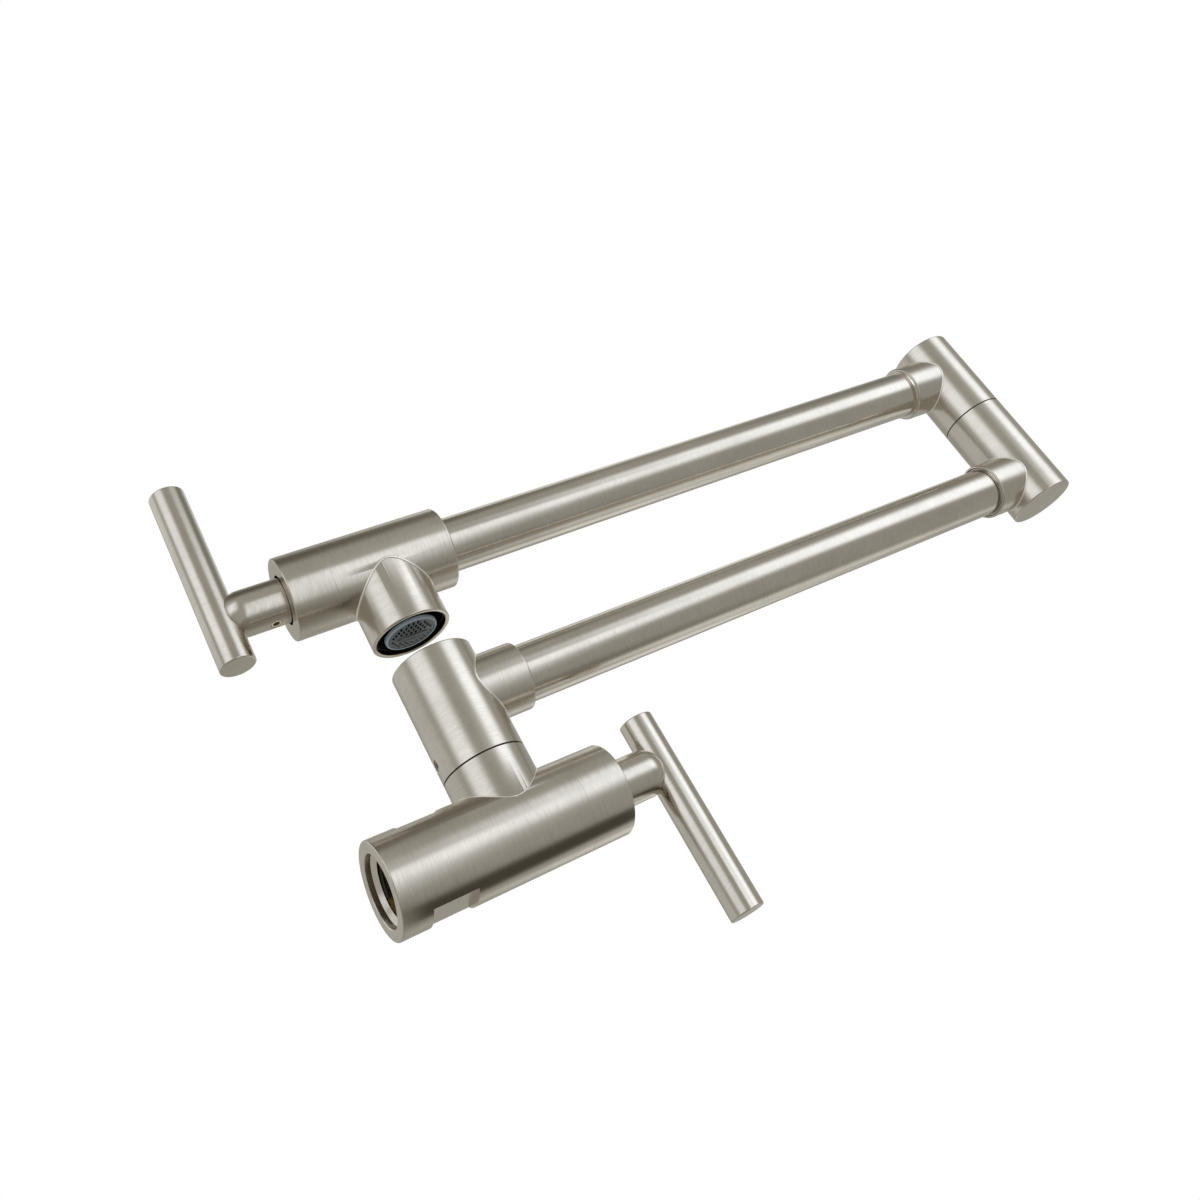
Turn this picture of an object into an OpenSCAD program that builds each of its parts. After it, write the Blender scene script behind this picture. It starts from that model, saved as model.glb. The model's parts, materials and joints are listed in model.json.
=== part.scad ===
// Wall mounted pot filler: a valve on the wall, two swivelling arms that fold
// over each other, and a second valve at the spout.
// Millimetres, +Z up, +Y towards the wall. The origin is the centre of the
// inlet face. At rest the arms are folded as in the photograph.

/* [Wall valve] */
// Diameter of the wall valve's body and bonnet
valve_d = 30.5; // [29:0.5:38]
// From the inlet face to the axis of the neck
neck_at = 45.5; // [42:0.5:70]
// From the valve's axis to the top face of the neck
neck_l = 22.8; // [21:0.1:34]
// Distance across the two spanner flats
flats_across = 26; // [25:0.5:28.5]
// From the inlet face to the start of the flats
flats_at = 9.5; // [6:0.5:12]
// Length of the flats along the body
flats_l = 14.5; // [10:0.5:16]

/* [Inlet] */
// Drilled diameter of the half inch thread
thread_d = 18.6; // [18:0.1:19.4]
// Length of the threaded wall
thread_l = 15; // [12:0.5:17]
// Diameter of the recess in front of the thread
recess_d = 22.5; // [21.5:0.1:24.5]
// Depth of the recess in front of the thread
recess_l = 2.7; // [1:0.1:4]

/* [Column] */
// Diameter of the neck, the tees and the elbow
column_d = 28; // [26.5:0.5:34]
// Height of a tee
tee_l = 40; // [38:0.5:56]
// From a tee's lower face to the arm's axis
tee_arm_at = 24.2; // [24:0.1:27]
// Between the axes of the two arms
arm_rise = 58.8; // [56:0.1:80]
// From the lower arm's axis down to the foot of the elbow
elbow_foot_l = 14.7; // [13:0.1:24]

/* [Arms] */
// From the neck's axis to the elbow's axis
lower_arm_l = 276; // [150:1:400]
// From the elbow's axis to the spout's axis
upper_arm_l = 276; // [150:1:400]
// Outer diameter of the arm tubes
tube_d = 20; // [16:0.5:21]
// Wall of the arm tubes
tube_wall = 1.5; // [0.8:0.1:2.5]
// Diameter of the stubs that hold the tubes
stub_d = 23.6; // [23:0.1:25.5]
// From a column's axis to the end of its stub
stub_l = 25; // [23:0.5:40]
// Length of tube inside a stub
socket_l = 9; // [5:0.5:10]

/* [Outlet] */
// Diameter of the outlet valve's body and bonnet
outlet_d = 29.5; // [28:0.5:38]
// From the tube's end of the outlet body to the spout's axis
outlet_front_l = 24; // [22:0.5:40]
// Length of tube inside the outlet body
outlet_socket_l = 6; // [4:0.5:7]
// Diameter of the spout
spout_d = 28; // [27:0.5:34]
// From the arm's axis to the end of the spout
spout_l = 28.4; // [27.5:0.1:42]

/* [Valve core] */
// From the branch's axis to the handle end of either valve
core_l = 34; // [33:0.5:44]
// Length of the bonnet that shows
bonnet_l = 15; // [13:0.5:16]
// Diameter of the ceramic discs
disc_d = 15.6; // [15:0.1:16]
// Water gap round the cartridge's skirt
skirt_gap = 1.35; // [1.1:0.05:1.6]
// Thickness of a ceramic disc
disc_t = 3; // [2.4:0.1:3.2]
// Diameter of the valve stem
stem_d = 8; // [7.5:0.1:9]

/* [Swivels] */
// Outer diameter of a pivot spigot
spigot_d = 18; // [17.2:0.1:19.5]
// Water bore of a pivot spigot
spigot_bore = 11; // [8:0.5:12]
// Thickness of the thrust washer in a seam
washer_t = 0.5; // [0.3:0.1:1]

/* [Handles] */
// Diameter of the handle hub
hub_d = 16; // [14.5:0.5:18]
// From the bonnet's end face to the bar's axis
hub_l = 21.4; // [20:0.1:34]
// Diameter of the handle bar
bar_d = 12; // [10:0.5:13]
// Long end of the bar, from the hub's axis
bar_long_l = 54; // [30:1:90]
// Short end of the bar, from the hub's axis
bar_short_l = 18; // [12:1:22]

/* [Pose at rest] */
// Turn of the lower arm from straight out of the wall, in degrees
arm_turn = -4; // [-90:1:90]
// Turn of the upper arm from the lower arm's direction, in degrees
fold_turn = 179; // [-180:1:180]

/* [Hidden] */
$fn = 64;

// Colours
nickel = [0.64, 0.62, 0.58];
brass = [0.78, 0.62, 0.33];
ceramic = [0.93, 0.92, 0.89];
rubber = [0.09, 0.09, 0.09];
steel = [0.55, 0.55, 0.54];
plastic = [0.36, 0.40, 0.44];

// Clearances: a piece that runs in another, a piece seated in its own body,
// and the length by which a cut runs past a face
run_clear = 0.05;
seat_clear = 0.04;
overrun = 1;

// Broken edges: at a swivel's seam, at a bonnet's hairline seam, at an open rim
// and at a handle bar's end
seam_edge = 0.15;
hairline_edge = 0.05;
rim_edge = 0.5;
bar_edge = 0.4;

// Waterways in the valve bodies and in the arm stubs
water_d = 12;
arm_water_d = 15;

// The mouth of a stub opens out round its tube
stub_edge = 0.8;
stub_mouth = 0.7;

// Valve core, as places along its axis from the branch towards the handle
nose_l = 6;
skirt_wall = 1.3;
skirt_d = disc_d + 2 * run_clear + 2 * skirt_wall;
chamber_d = skirt_d + 2 * skirt_gap;
flange_t = 3.5;
flange_wide = 1.5;
flange_d = chamber_d + 2 * flange_wide;
guide_l = 7.6;
drive_l = 7;
seal_t = 2.4;
seal_bore = 9;
seal_proud = 1;
seam_w = core_l - bonnet_l;
nose_w = seam_w - nose_l;
flange_w = nose_w - flange_t;
guide_w = flange_w - guide_l;
drive_w = guide_w - drive_l;
turning_w = drive_w - disc_t;
fixed_w = turning_w - disc_t;
seat_w = fixed_w - seal_t;
skirt_w = seat_w + seal_proud;
window_w = 9;

// Ports and keys of the ceramic discs
port_in_r = 2.8;
port_rim = 1.3;
port_out_r = disc_d / 2 - port_rim;
port_half_angle = 38;
key_w = 3;

// Stem: collar under the guide, blade in the turning disc, clip over the cartridge
collar_t = 2.2;
collar_gap = 0.5;
collar_d = disc_d - 2 * collar_gap;
blade_in = 2.3;
blade_l = disc_d - 2 * blade_in;
blade_t = 3.6;
blade_bite = 1.2;
stem_oring_t = 1.2;
stem_oring_w = flange_w;
clip_t = 1;
clip_bite = 0.6;
clip_wide = 1.7;
clip_d = stem_d + 2 * clip_wide;
clip_gap_w = 4.5;
stem_out_l = 9.5;
stem_top_w = core_l + stem_out_l;
stem_flat = 0.8;

// Cartridge's outer seal
core_oring_t = 1.6;
core_oring_at = 5.9;
core_oring_w = guide_w + core_oring_at;

// Hub: how far it reaches into the bonnet, the gap round it and its screw
hub_in_l = 4;
hub_gap = 0.6;
hub_w = core_l - hub_in_l;
bar_w = core_l + hub_l;
dome_w = bar_w - hub_d / 2;
hub_screw_at = 5.1;
hub_screw_w = core_l + hub_screw_at;
tenon_d = 6;
tenon_bite = 2;

// Set screws, with a hexagon socket
screw_d = 4;
screw_sink = 0.5;
socket_across = 2;
socket_depth = 2;
dog_d = 2.4;
dog_play = 0.3;
stop_depth = 1.6;

// Swivel: the spigot's plug sits in the lower piece, its pin in the upper one
plug_d = 16;
plug_l = 9;
spigot_oring_t = 1.6;
oring_play = 0.4;
pin_top_gap = 0.9;
pin_l = tee_arm_at - arm_water_d / 2 - pin_top_gap;
tee_screw_at = 6.2;
pin_oring_step = 3.3;
pin_oring_at = [tee_screw_at + pin_oring_step, tee_screw_at + 2 * pin_oring_step];
tee_roof = 6;
washer_inset = 1.1;

// Aerator, as places down the spout from the arm's axis
aerator_l = 12.2;
aerator_d = 22;
spout_wall = 1.4;
aerator_recess_d = spout_d - 2 * spout_wall;
aerator_recess_l = 6.5;
thread_step = 1;
aerator_ring_d = aerator_d - 2 * thread_step;
aerator_back = 0.5;
aerator_lip_w = 0.7;
aerator_lip_t = 2;
aerator_wall = 1;
aerator_washer_t = 1.4;
aerator_insert_t = 3;
aerator_bar_w = 2;
mesh_t = 0.5;
mesh_sag = 1;
aerator_top = spout_l - aerator_l;
aerator_cup_top = aerator_top + aerator_washer_t;
aerator_neck = spout_l - aerator_recess_l;
aerator_mouth = spout_l - aerator_back;
aerator_inner_d = aerator_ring_d - 2 * aerator_wall - 2 * seat_clear;
mesh_top = aerator_mouth - aerator_lip_t - mesh_t;

// Heights of the two swivels and the two arms
base_tee_z = neck_l + washer_t;
lower_z = base_tee_z + tee_arm_at;
upper_z = lower_z + arm_rise;
elbow_tee_z = upper_z - tee_arm_at;
elbow_top_z = elbow_tee_z - washer_t;
elbow_foot_z = lower_z - elbow_foot_l;

// Frames of the moving bodies
module at_valve() {
    rotate([90, 0, 0]) children();
}

module at_wall_core() {
    at_valve() translate([0, 0, neck_at]) children();
}

module at_neck() {
    translate([0, -neck_at, 0]) children();
}

module on_neck() {
    at_neck() translate([0, 0, neck_l]) children();
}

module at_lower_arm() {
    at_neck() rotate([0, 0, arm_turn]) children();
}

module at_elbow() {
    at_lower_arm() translate([0, -lower_arm_l, 0]) children();
}

module on_elbow() {
    at_elbow() translate([0, 0, elbow_top_z]) children();
}

module at_upper_arm() {
    at_elbow() rotate([0, 0, fold_turn]) children();
}

module at_outlet_core() {
    at_upper_arm() translate([0, -upper_arm_l, upper_z]) rotate([90, 0, 0]) children();
}

module down_spout() {
    at_outlet_core() rotate([90, 0, 0]) children();
}

// The wall handle is the same part as the outlet handle, half a turn round
module at_wall_handle() {
    at_wall_core() rotate([0, 0, 180]) children();
}

// Round bar along z with a broken edge at each end
module turned(d, l, low, high) {
    rotate_extrude()
        polygon([
            [0, 0], [d / 2 - low, 0], [d / 2, low],
            [d / 2, l - high], [d / 2 - high, l], [0, l]
        ]);
}

// Round bar along z whose far end is rounded
module stub_bar(l) {
    cylinder(h = l - stub_edge, d = stub_d);
    cylinder(h = l, d = stub_d - 2 * stub_edge);
    translate([0, 0, l - stub_edge]) rotate_extrude()
        translate([stub_d / 2 - stub_edge, 0]) circle(r = stub_edge);
}

module ring(d, bore, l) {
    difference() {
        cylinder(h = l, d = d);
        translate([0, 0, -overrun]) cylinder(h = l + 2 * overrun, d = bore);
    }
}

// Ring seal of round section lying in a groove of outer diameter d
module oring(d, t) {
    rotate_extrude() translate([(d - t) / 2, 0]) circle(d = t);
}

// Cut for a ring seal of thickness t, centred on z = 0, in a shaft of diameter d
module oring_groove(d, t) {
    translate([0, 0, -(t + oring_play) / 2])
        ring(d + 2 * overrun, d - 2 * t, t + oring_play);
}

// Grub screw from its tip at z = 0 to its socket
module set_screw(l) {
    difference() {
        cylinder(h = l, d = screw_d - 2 * seat_clear);
        translate([0, 0, l - socket_depth])
            cylinder(h = socket_depth + overrun, d = socket_across / cos(30), $fn = 6);
    }
}

// Hollow that takes a valve's cartridge, with the way in from its tube or inlet
module core_hollow(way_l) {
    translate([0, 0, flange_w]) cylinder(h = seam_w - flange_w + overrun, d = flange_d);
    translate([0, 0, seat_w]) cylinder(h = flange_w - seat_w + overrun, d = chamber_d);
    translate([0, 0, seat_w - way_l]) cylinder(h = way_l + overrun, d = water_d);
}

// Hollow of a stub, from the column's axis out through the mouth
module stub_hollow() {
    bore = tube_d + 2 * seat_clear;
    cylinder(h = stub_l, d = arm_water_d);
    translate([0, 0, stub_l - socket_l]) cylinder(h = socket_l + overrun, d = bore);
    translate([0, 0, stub_l - stub_mouth])
        cylinder(h = stub_mouth, d1 = bore, d2 = bore + 2 * stub_mouth);
}

// Bonnet, from its nose in the valve body to its end face
module bonnet(d) {
    difference() {
        union() {
            translate([0, 0, seam_w]) turned(d, bonnet_l, hairline_edge, rim_edge);
            translate([0, 0, nose_w])
                cylinder(h = nose_l + bonnet_l / 2, d = flange_d - 2 * seat_clear);
        }
        translate([0, 0, nose_w - overrun])
            cylinder(h = nose_l + bonnet_l + 2 * overrun, d = hub_d + 2 * hub_gap);
    }
}

// Cartridge: a windowed skirt round the discs, a guide for the stem and a flange
module cartridge_body() {
    guide_d = chamber_d - 2 * seat_clear;
    color(brass) difference() {
        union() {
            translate([0, 0, skirt_w]) cylinder(h = flange_w - skirt_w, d = skirt_d);
            translate([0, 0, guide_w]) cylinder(h = guide_l, d = guide_d);
            translate([0, 0, flange_w]) cylinder(h = flange_t, d = flange_d - 2 * seat_clear);
        }
        translate([0, 0, skirt_w - overrun])
            cylinder(h = guide_w - skirt_w + overrun, d = disc_d + 2 * run_clear);
        translate([0, 0, guide_w - overrun])
            cylinder(h = nose_w - guide_w + 2 * overrun, d = stem_d + 2 * run_clear);
        translate([-window_w / 2, -chamber_d / 2, drive_w])
            cube([window_w, chamber_d, drive_l - collar_t]);
        translate([-chamber_d / 2, -key_w / 2 - seat_clear, skirt_w - overrun])
            cube([chamber_d, key_w + 2 * seat_clear, turning_w - skirt_w + overrun]);
        translate([0, 0, core_oring_w]) oring_groove(guide_d, core_oring_t);
    }
}

module cartridge_oring() {
    color(rubber) translate([0, 0, core_oring_w])
        oring(chamber_d - 2 * seat_clear, core_oring_t);
}

// Two opposite ports through a ceramic disc, centred on the x axis
module ports() {
    half = disc_d * tan(port_half_angle);
    for (side = [0, 180])
        rotate([0, 0, side]) translate([0, 0, -overrun]) intersection() {
            ring(2 * port_out_r, 2 * port_in_r, disc_t + 2 * overrun);
            linear_extrude(disc_t + 2 * overrun)
                polygon([[0, 0], [disc_d, -half], [disc_d, half]]);
        }
}

// Lower disc, held still by two ears in the skirt's notches
module fixed_disc() {
    color(ceramic) translate([0, 0, fixed_w]) difference() {
        union() {
            cylinder(h = disc_t, d = disc_d);
            intersection() {
                cylinder(h = disc_t, d = skirt_d);
                translate([-skirt_d / 2, -key_w / 2, 0]) cube([skirt_d, key_w, disc_t]);
            }
        }
        ports();
    }
}

// Upper disc, turned by the stem's blade. Shut, its ports lie across the lower ones
module turning_disc() {
    color(ceramic) translate([0, 0, turning_w]) difference() {
        cylinder(h = disc_t, d = disc_d);
        rotate([0, 0, 90]) ports();
        translate([-blade_l / 2 - seat_clear, -blade_t / 2 - seat_clear, disc_t - blade_bite])
            cube([blade_l + 2 * seat_clear, blade_t + 2 * seat_clear, blade_bite + overrun]);
    }
}

module seat_seal() {
    color(rubber) translate([0, 0, seat_w]) ring(disc_d, seal_bore, seal_t);
}

module spindle() {
    color(brass) difference() {
        union() {
            translate([-blade_l / 2, -blade_t / 2, drive_w - blade_bite])
                cube([blade_l, blade_t, drive_l + blade_bite - collar_t / 2]);
            translate([0, 0, guide_w - collar_t]) cylinder(h = collar_t, d = collar_d);
            translate([0, 0, guide_w - collar_t / 2])
                cylinder(h = stem_top_w - guide_w + collar_t / 2, d = stem_d);
        }
        translate([0, 0, stem_oring_w]) oring_groove(stem_d, stem_oring_t);
        translate([0, 0, nose_w]) ring(stem_d + 2 * overrun, stem_d - 2 * clip_bite, clip_t);
        translate([-stem_d / 2, -stem_d, core_l])
            cube([stem_d, stem_d / 2 + stem_flat, stem_out_l + overrun]);
    }
}

module spindle_oring() {
    color(rubber) translate([0, 0, stem_oring_w]) oring(stem_d, stem_oring_t);
}

module spindle_clip() {
    color(steel) translate([0, 0, nose_w]) difference() {
        ring(clip_d, stem_d - 2 * clip_bite, clip_t);
        translate([0, -clip_gap_w / 2, -overrun])
            cube([clip_d, clip_gap_w, clip_t + 2 * overrun]);
    }
}

// Handle, with the bar's long end along +y and the set screw opposite
module handle_hub() {
    color(nickel) {
        difference() {
            union() {
                translate([0, 0, hub_w]) cylinder(h = dome_w - hub_w, d = hub_d);
                translate([0, 0, dome_w]) sphere(d = hub_d);
            }
            translate([0, 0, bar_w]) rotate([90, 0, 0])
                cylinder(h = hub_d + 2 * overrun, d = bar_d + 2 * seat_clear, center = true);
            translate([0, 0, hub_w - overrun])
                cylinder(h = stem_top_w - hub_w + overrun, d = stem_d + 2 * seat_clear);
            translate([0, 0, hub_screw_w]) rotate([90, 0, 0]) cylinder(h = hub_d, d = screw_d);
        }
        translate([0, 0, bar_w - bar_d / 2 - overrun])
            cylinder(h = tenon_bite + overrun, d = tenon_d);
    }
}

module handle_bar() {
    color(nickel) difference() {
        translate([0, -bar_short_l, bar_w]) rotate([-90, 0, 0])
            turned(bar_d, bar_long_l + bar_short_l, bar_edge, bar_edge);
        translate([0, 0, bar_w - bar_d / 2 - overrun])
            cylinder(h = tenon_bite + overrun, d = tenon_d + 2 * seat_clear);
    }
}

module handle_set_screw() {
    tip = stem_d / 2 - stem_flat;
    color(steel) translate([0, 0, hub_screw_w]) rotate([90, 0, 0]) translate([0, 0, tip])
        set_screw(hub_d / 2 - screw_sink - tip);
}

// Pivot tube, from the top face of the lower piece: a plug down into that piece,
// and a pin up into the tee with a groove for the set screw and two for the seals
module spigot() {
    top = washer_t + pin_l;
    color(brass) difference() {
        union() {
            translate([0, 0, -plug_l])
                cylinder(h = plug_l + washer_t, d = plug_d - 2 * seat_clear);
            cylinder(h = top, d = spigot_d);
        }
        translate([0, 0, -plug_l - overrun])
            cylinder(h = plug_l + top + 2 * overrun, d = spigot_bore);
        translate([0, 0, washer_t + tee_screw_at - dog_d / 2 - dog_play])
            ring(spigot_d + 2 * overrun, spigot_d - 2 * stop_depth, dog_d + 2 * dog_play);
        for (at = pin_oring_at)
            translate([0, 0, washer_t + at]) oring_groove(spigot_d, spigot_oring_t);
    }
}

module spigot_orings() {
    color(rubber)
        for (at = pin_oring_at)
            translate([0, 0, washer_t + at]) oring(spigot_d, spigot_oring_t);
}

module thrust_washer() {
    color(rubber) ring(column_d - 2 * washer_inset, spigot_d + 2 * seat_clear, washer_t);
}

// Tee from its lower face, with its stub along -y and its set screw along +y
module tee() {
    color(nickel) difference() {
        union() {
            turned(column_d, tee_l, seam_edge, rim_edge);
            translate([0, 0, tee_arm_at]) rotate([90, 0, 0]) stub_bar(stub_l);
        }
        translate([0, 0, -overrun])
            cylinder(h = tee_l - tee_roof + overrun, d = spigot_d + 2 * run_clear);
        translate([0, 0, tee_arm_at]) rotate([90, 0, 0]) stub_hollow();
        translate([0, 0, tee_screw_at]) rotate([-90, 0, 0])
            cylinder(h = column_d / 2 + overrun, d = screw_d);
    }
}

// Its dog runs in the spigot's groove, so that the tee turns but can't lift off
module tee_set_screw() {
    tip = spigot_d / 2 - stop_depth + dog_play;
    shoulder = spigot_d / 2 + 2 * run_clear;
    color(steel) translate([0, 0, tee_screw_at]) rotate([-90, 0, 0]) {
        translate([0, 0, shoulder]) set_screw(column_d / 2 - screw_sink - shoulder);
        translate([0, 0, tip]) cylinder(h = shoulder - tip + screw_sink, d = dog_d);
    }
}

module arm_tube(from, to) {
    color(nickel) translate([0, -from, 0]) rotate([90, 0, 0])
        ring(tube_d, tube_d - 2 * tube_wall, to - from);
}

// Wall valve
module wall_valve_body() {
    color(nickel) difference() {
        union() {
            at_valve() turned(valve_d, neck_at + seam_w, rim_edge, hairline_edge);
            at_neck() turned(column_d, neck_l, seam_edge, seam_edge);
        }
        at_valve() {
            translate([0, 0, -overrun]) cylinder(h = recess_l + overrun, d = recess_d);
            cylinder(h = recess_l + thread_l, d = thread_d);
            for (side = [-1, 1])
                translate([0, side * (flats_across + valve_d) / 2, flats_at + flats_l / 2])
                    cube([valve_d, valve_d, flats_l], center = true);
        }
        at_wall_core() core_hollow(neck_at + seat_w - recess_l);
        at_neck() {
            cylinder(h = neck_l, d = water_d);
            translate([0, 0, neck_l - plug_l]) cylinder(h = plug_l + overrun, d = plug_d);
        }
    }
}

module wall_bonnet() {
    color(nickel) at_wall_core() bonnet(valve_d);
}

module wall_cartridge_body() {
    at_wall_core() cartridge_body();
}

module wall_cartridge_oring() {
    at_wall_core() cartridge_oring();
}

module wall_fixed_disc() {
    at_wall_core() fixed_disc();
}

module wall_seat_seal() {
    at_wall_core() seat_seal();
}

module neck_spigot() {
    on_neck() spigot();
}

module neck_orings() {
    on_neck() spigot_orings();
}

module neck_thrust_washer() {
    on_neck() thrust_washer();
}

// Wall handle
module wall_spindle() {
    at_wall_handle() spindle();
}

module wall_spindle_oring() {
    at_wall_handle() spindle_oring();
}

module wall_spindle_clip() {
    at_wall_handle() spindle_clip();
}

module wall_turning_disc() {
    at_wall_handle() turning_disc();
}

module wall_handle_hub() {
    at_wall_handle() handle_hub();
}

module wall_handle_bar() {
    at_wall_handle() handle_bar();
}

module wall_handle_set_screw() {
    at_wall_handle() handle_set_screw();
}

// Lower arm
module base_tee() {
    at_lower_arm() translate([0, 0, base_tee_z]) tee();
}

module base_tee_set_screw() {
    at_lower_arm() translate([0, 0, base_tee_z]) tee_set_screw();
}

module lower_tube() {
    inset = stub_l - socket_l;
    at_lower_arm() translate([0, 0, lower_z]) arm_tube(inset, lower_arm_l - inset);
}

module elbow_lower_body() {
    color(nickel) at_elbow() difference() {
        union() {
            translate([0, 0, elbow_foot_z])
                turned(column_d, elbow_top_z - elbow_foot_z, rim_edge, seam_edge);
            translate([0, 0, lower_z]) rotate([-90, 0, 0]) stub_bar(stub_l);
        }
        translate([0, 0, elbow_top_z - plug_l]) cylinder(h = plug_l + overrun, d = plug_d);
        translate([0, 0, lower_z]) cylinder(h = elbow_top_z - lower_z, d = water_d);
        translate([0, 0, lower_z]) rotate([-90, 0, 0]) stub_hollow();
    }
}

module elbow_spigot() {
    on_elbow() spigot();
}

module elbow_orings() {
    on_elbow() spigot_orings();
}

module elbow_thrust_washer() {
    on_elbow() thrust_washer();
}

// Upper arm, with the outlet valve and the spout
module elbow_tee() {
    at_upper_arm() translate([0, 0, elbow_tee_z]) tee();
}

module elbow_tee_set_screw() {
    at_upper_arm() translate([0, 0, elbow_tee_z]) tee_set_screw();
}

module upper_tube() {
    at_upper_arm() translate([0, 0, upper_z])
        arm_tube(stub_l - socket_l, upper_arm_l - outlet_front_l + outlet_socket_l);
}

module outlet_body() {
    color(nickel) difference() {
        union() {
            at_outlet_core() translate([0, 0, -outlet_front_l])
                turned(outlet_d, outlet_front_l + seam_w, rim_edge, hairline_edge);
            down_spout() turned(spout_d, spout_l, seam_edge, rim_edge);
        }
        at_outlet_core() {
            core_hollow(outlet_front_l + seat_w);
            translate([0, 0, -outlet_front_l - overrun])
                cylinder(h = outlet_socket_l + overrun, d = tube_d + 2 * seat_clear);
        }
        down_spout() {
            cylinder(h = spout_l, d = water_d);
            translate([0, 0, aerator_top]) cylinder(h = aerator_l, d = aerator_d);
            translate([0, 0, aerator_neck])
                cylinder(h = aerator_recess_l + overrun, d = aerator_recess_d);
        }
    }
}

module outlet_bonnet() {
    color(nickel) at_outlet_core() bonnet(outlet_d);
}

module outlet_cartridge_body() {
    at_outlet_core() cartridge_body();
}

module outlet_cartridge_oring() {
    at_outlet_core() cartridge_oring();
}

module outlet_fixed_disc() {
    at_outlet_core() fixed_disc();
}

module outlet_seat_seal() {
    at_outlet_core() seat_seal();
}

// Aerator, from the top down: washer, insert and mesh, in the cup that holds them
module aerator_washer() {
    color(rubber) down_spout() translate([0, 0, aerator_top])
        ring(aerator_d - 2 * seat_clear, water_d, aerator_washer_t);
}

module aerator_insert() {
    color(plastic) down_spout() translate([0, 0, mesh_top - aerator_insert_t]) {
        ring(aerator_inner_d, aerator_inner_d - 2 * aerator_lip_w, aerator_insert_t);
        intersection() {
            cylinder(h = aerator_insert_t, d = aerator_inner_d - aerator_lip_w);
            union() {
                for (turn = [0, 90])
                    rotate([0, 0, turn])
                        translate([-aerator_inner_d / 2, -aerator_bar_w / 2, 0])
                            cube([aerator_inner_d, aerator_bar_w, aerator_insert_t]);
            }
        }
    }
}

// Shallow dome, swelling down towards the mouth from a flat rim
module aerator_mesh() {
    dome_d = aerator_inner_d - 4 * aerator_lip_w;
    dome_r = (dome_d * dome_d / 4 + mesh_sag * mesh_sag) / (2 * mesh_sag);
    color(steel) down_spout() translate([0, 0, mesh_top]) {
        ring(aerator_inner_d, dome_d, mesh_t);
        intersection() {
            cylinder(h = mesh_sag + mesh_t, d = dome_d);
            translate([0, 0, mesh_sag - dome_r]) difference() {
                sphere(r = dome_r + mesh_t);
                sphere(r = dome_r);
            }
        }
    }
}

module aerator_housing() {
    bore = aerator_ring_d - 2 * aerator_wall;
    color(plastic) down_spout() difference() {
        union() {
            translate([0, 0, aerator_cup_top])
                cylinder(h = aerator_neck - aerator_cup_top, d = aerator_d - 2 * seat_clear);
            translate([0, 0, aerator_neck - overrun])
                turned(aerator_ring_d, aerator_mouth - aerator_neck + overrun, seam_edge, seam_edge);
        }
        translate([0, 0, aerator_cup_top - overrun])
            cylinder(h = aerator_mouth - aerator_lip_t - aerator_cup_top + overrun, d = bore);
        translate([0, 0, aerator_cup_top])
            cylinder(h = aerator_mouth - aerator_cup_top + overrun, d = bore - 2 * aerator_lip_w);
    }
}

// Outlet handle
module outlet_spindle() {
    at_outlet_core() spindle();
}

module outlet_spindle_oring() {
    at_outlet_core() spindle_oring();
}

module outlet_spindle_clip() {
    at_outlet_core() spindle_clip();
}

module outlet_turning_disc() {
    at_outlet_core() turning_disc();
}

module outlet_handle_hub() {
    at_outlet_core() handle_hub();
}

module outlet_handle_bar() {
    at_outlet_core() handle_bar();
}

module outlet_handle_set_screw() {
    at_outlet_core() handle_set_screw();
}

wall_valve_body();
wall_bonnet();
wall_cartridge_body();
wall_cartridge_oring();
wall_fixed_disc();
wall_seat_seal();
neck_spigot();
neck_orings();
neck_thrust_washer();
wall_spindle();
wall_spindle_oring();
wall_spindle_clip();
wall_turning_disc();
wall_handle_hub();
wall_handle_bar();
wall_handle_set_screw();
base_tee();
base_tee_set_screw();
lower_tube();
elbow_lower_body();
elbow_spigot();
elbow_orings();
elbow_thrust_washer();
elbow_tee();
elbow_tee_set_screw();
upper_tube();
outlet_body();
outlet_bonnet();
outlet_cartridge_body();
outlet_cartridge_oring();
outlet_fixed_disc();
outlet_seat_seal();
aerator_housing();
aerator_insert();
aerator_mesh();
aerator_washer();
outlet_spindle();
outlet_spindle_oring();
outlet_spindle_clip();
outlet_turning_disc();
outlet_handle_hub();
outlet_handle_bar();
outlet_handle_set_screw();
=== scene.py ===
"""Dresses the wall mounted pot filler: brushed nickel bodies, arms and handles,
the inlet thread and the aerator, on a plain stage under soft studio light."""

import json
import logging
import math
from dataclasses import dataclass, field
from enum import Enum
from itertools import pairwise
from typing import Callable, Iterable, Sequence

import bmesh
import bpy
from mathutils import Matrix, Vector


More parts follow.
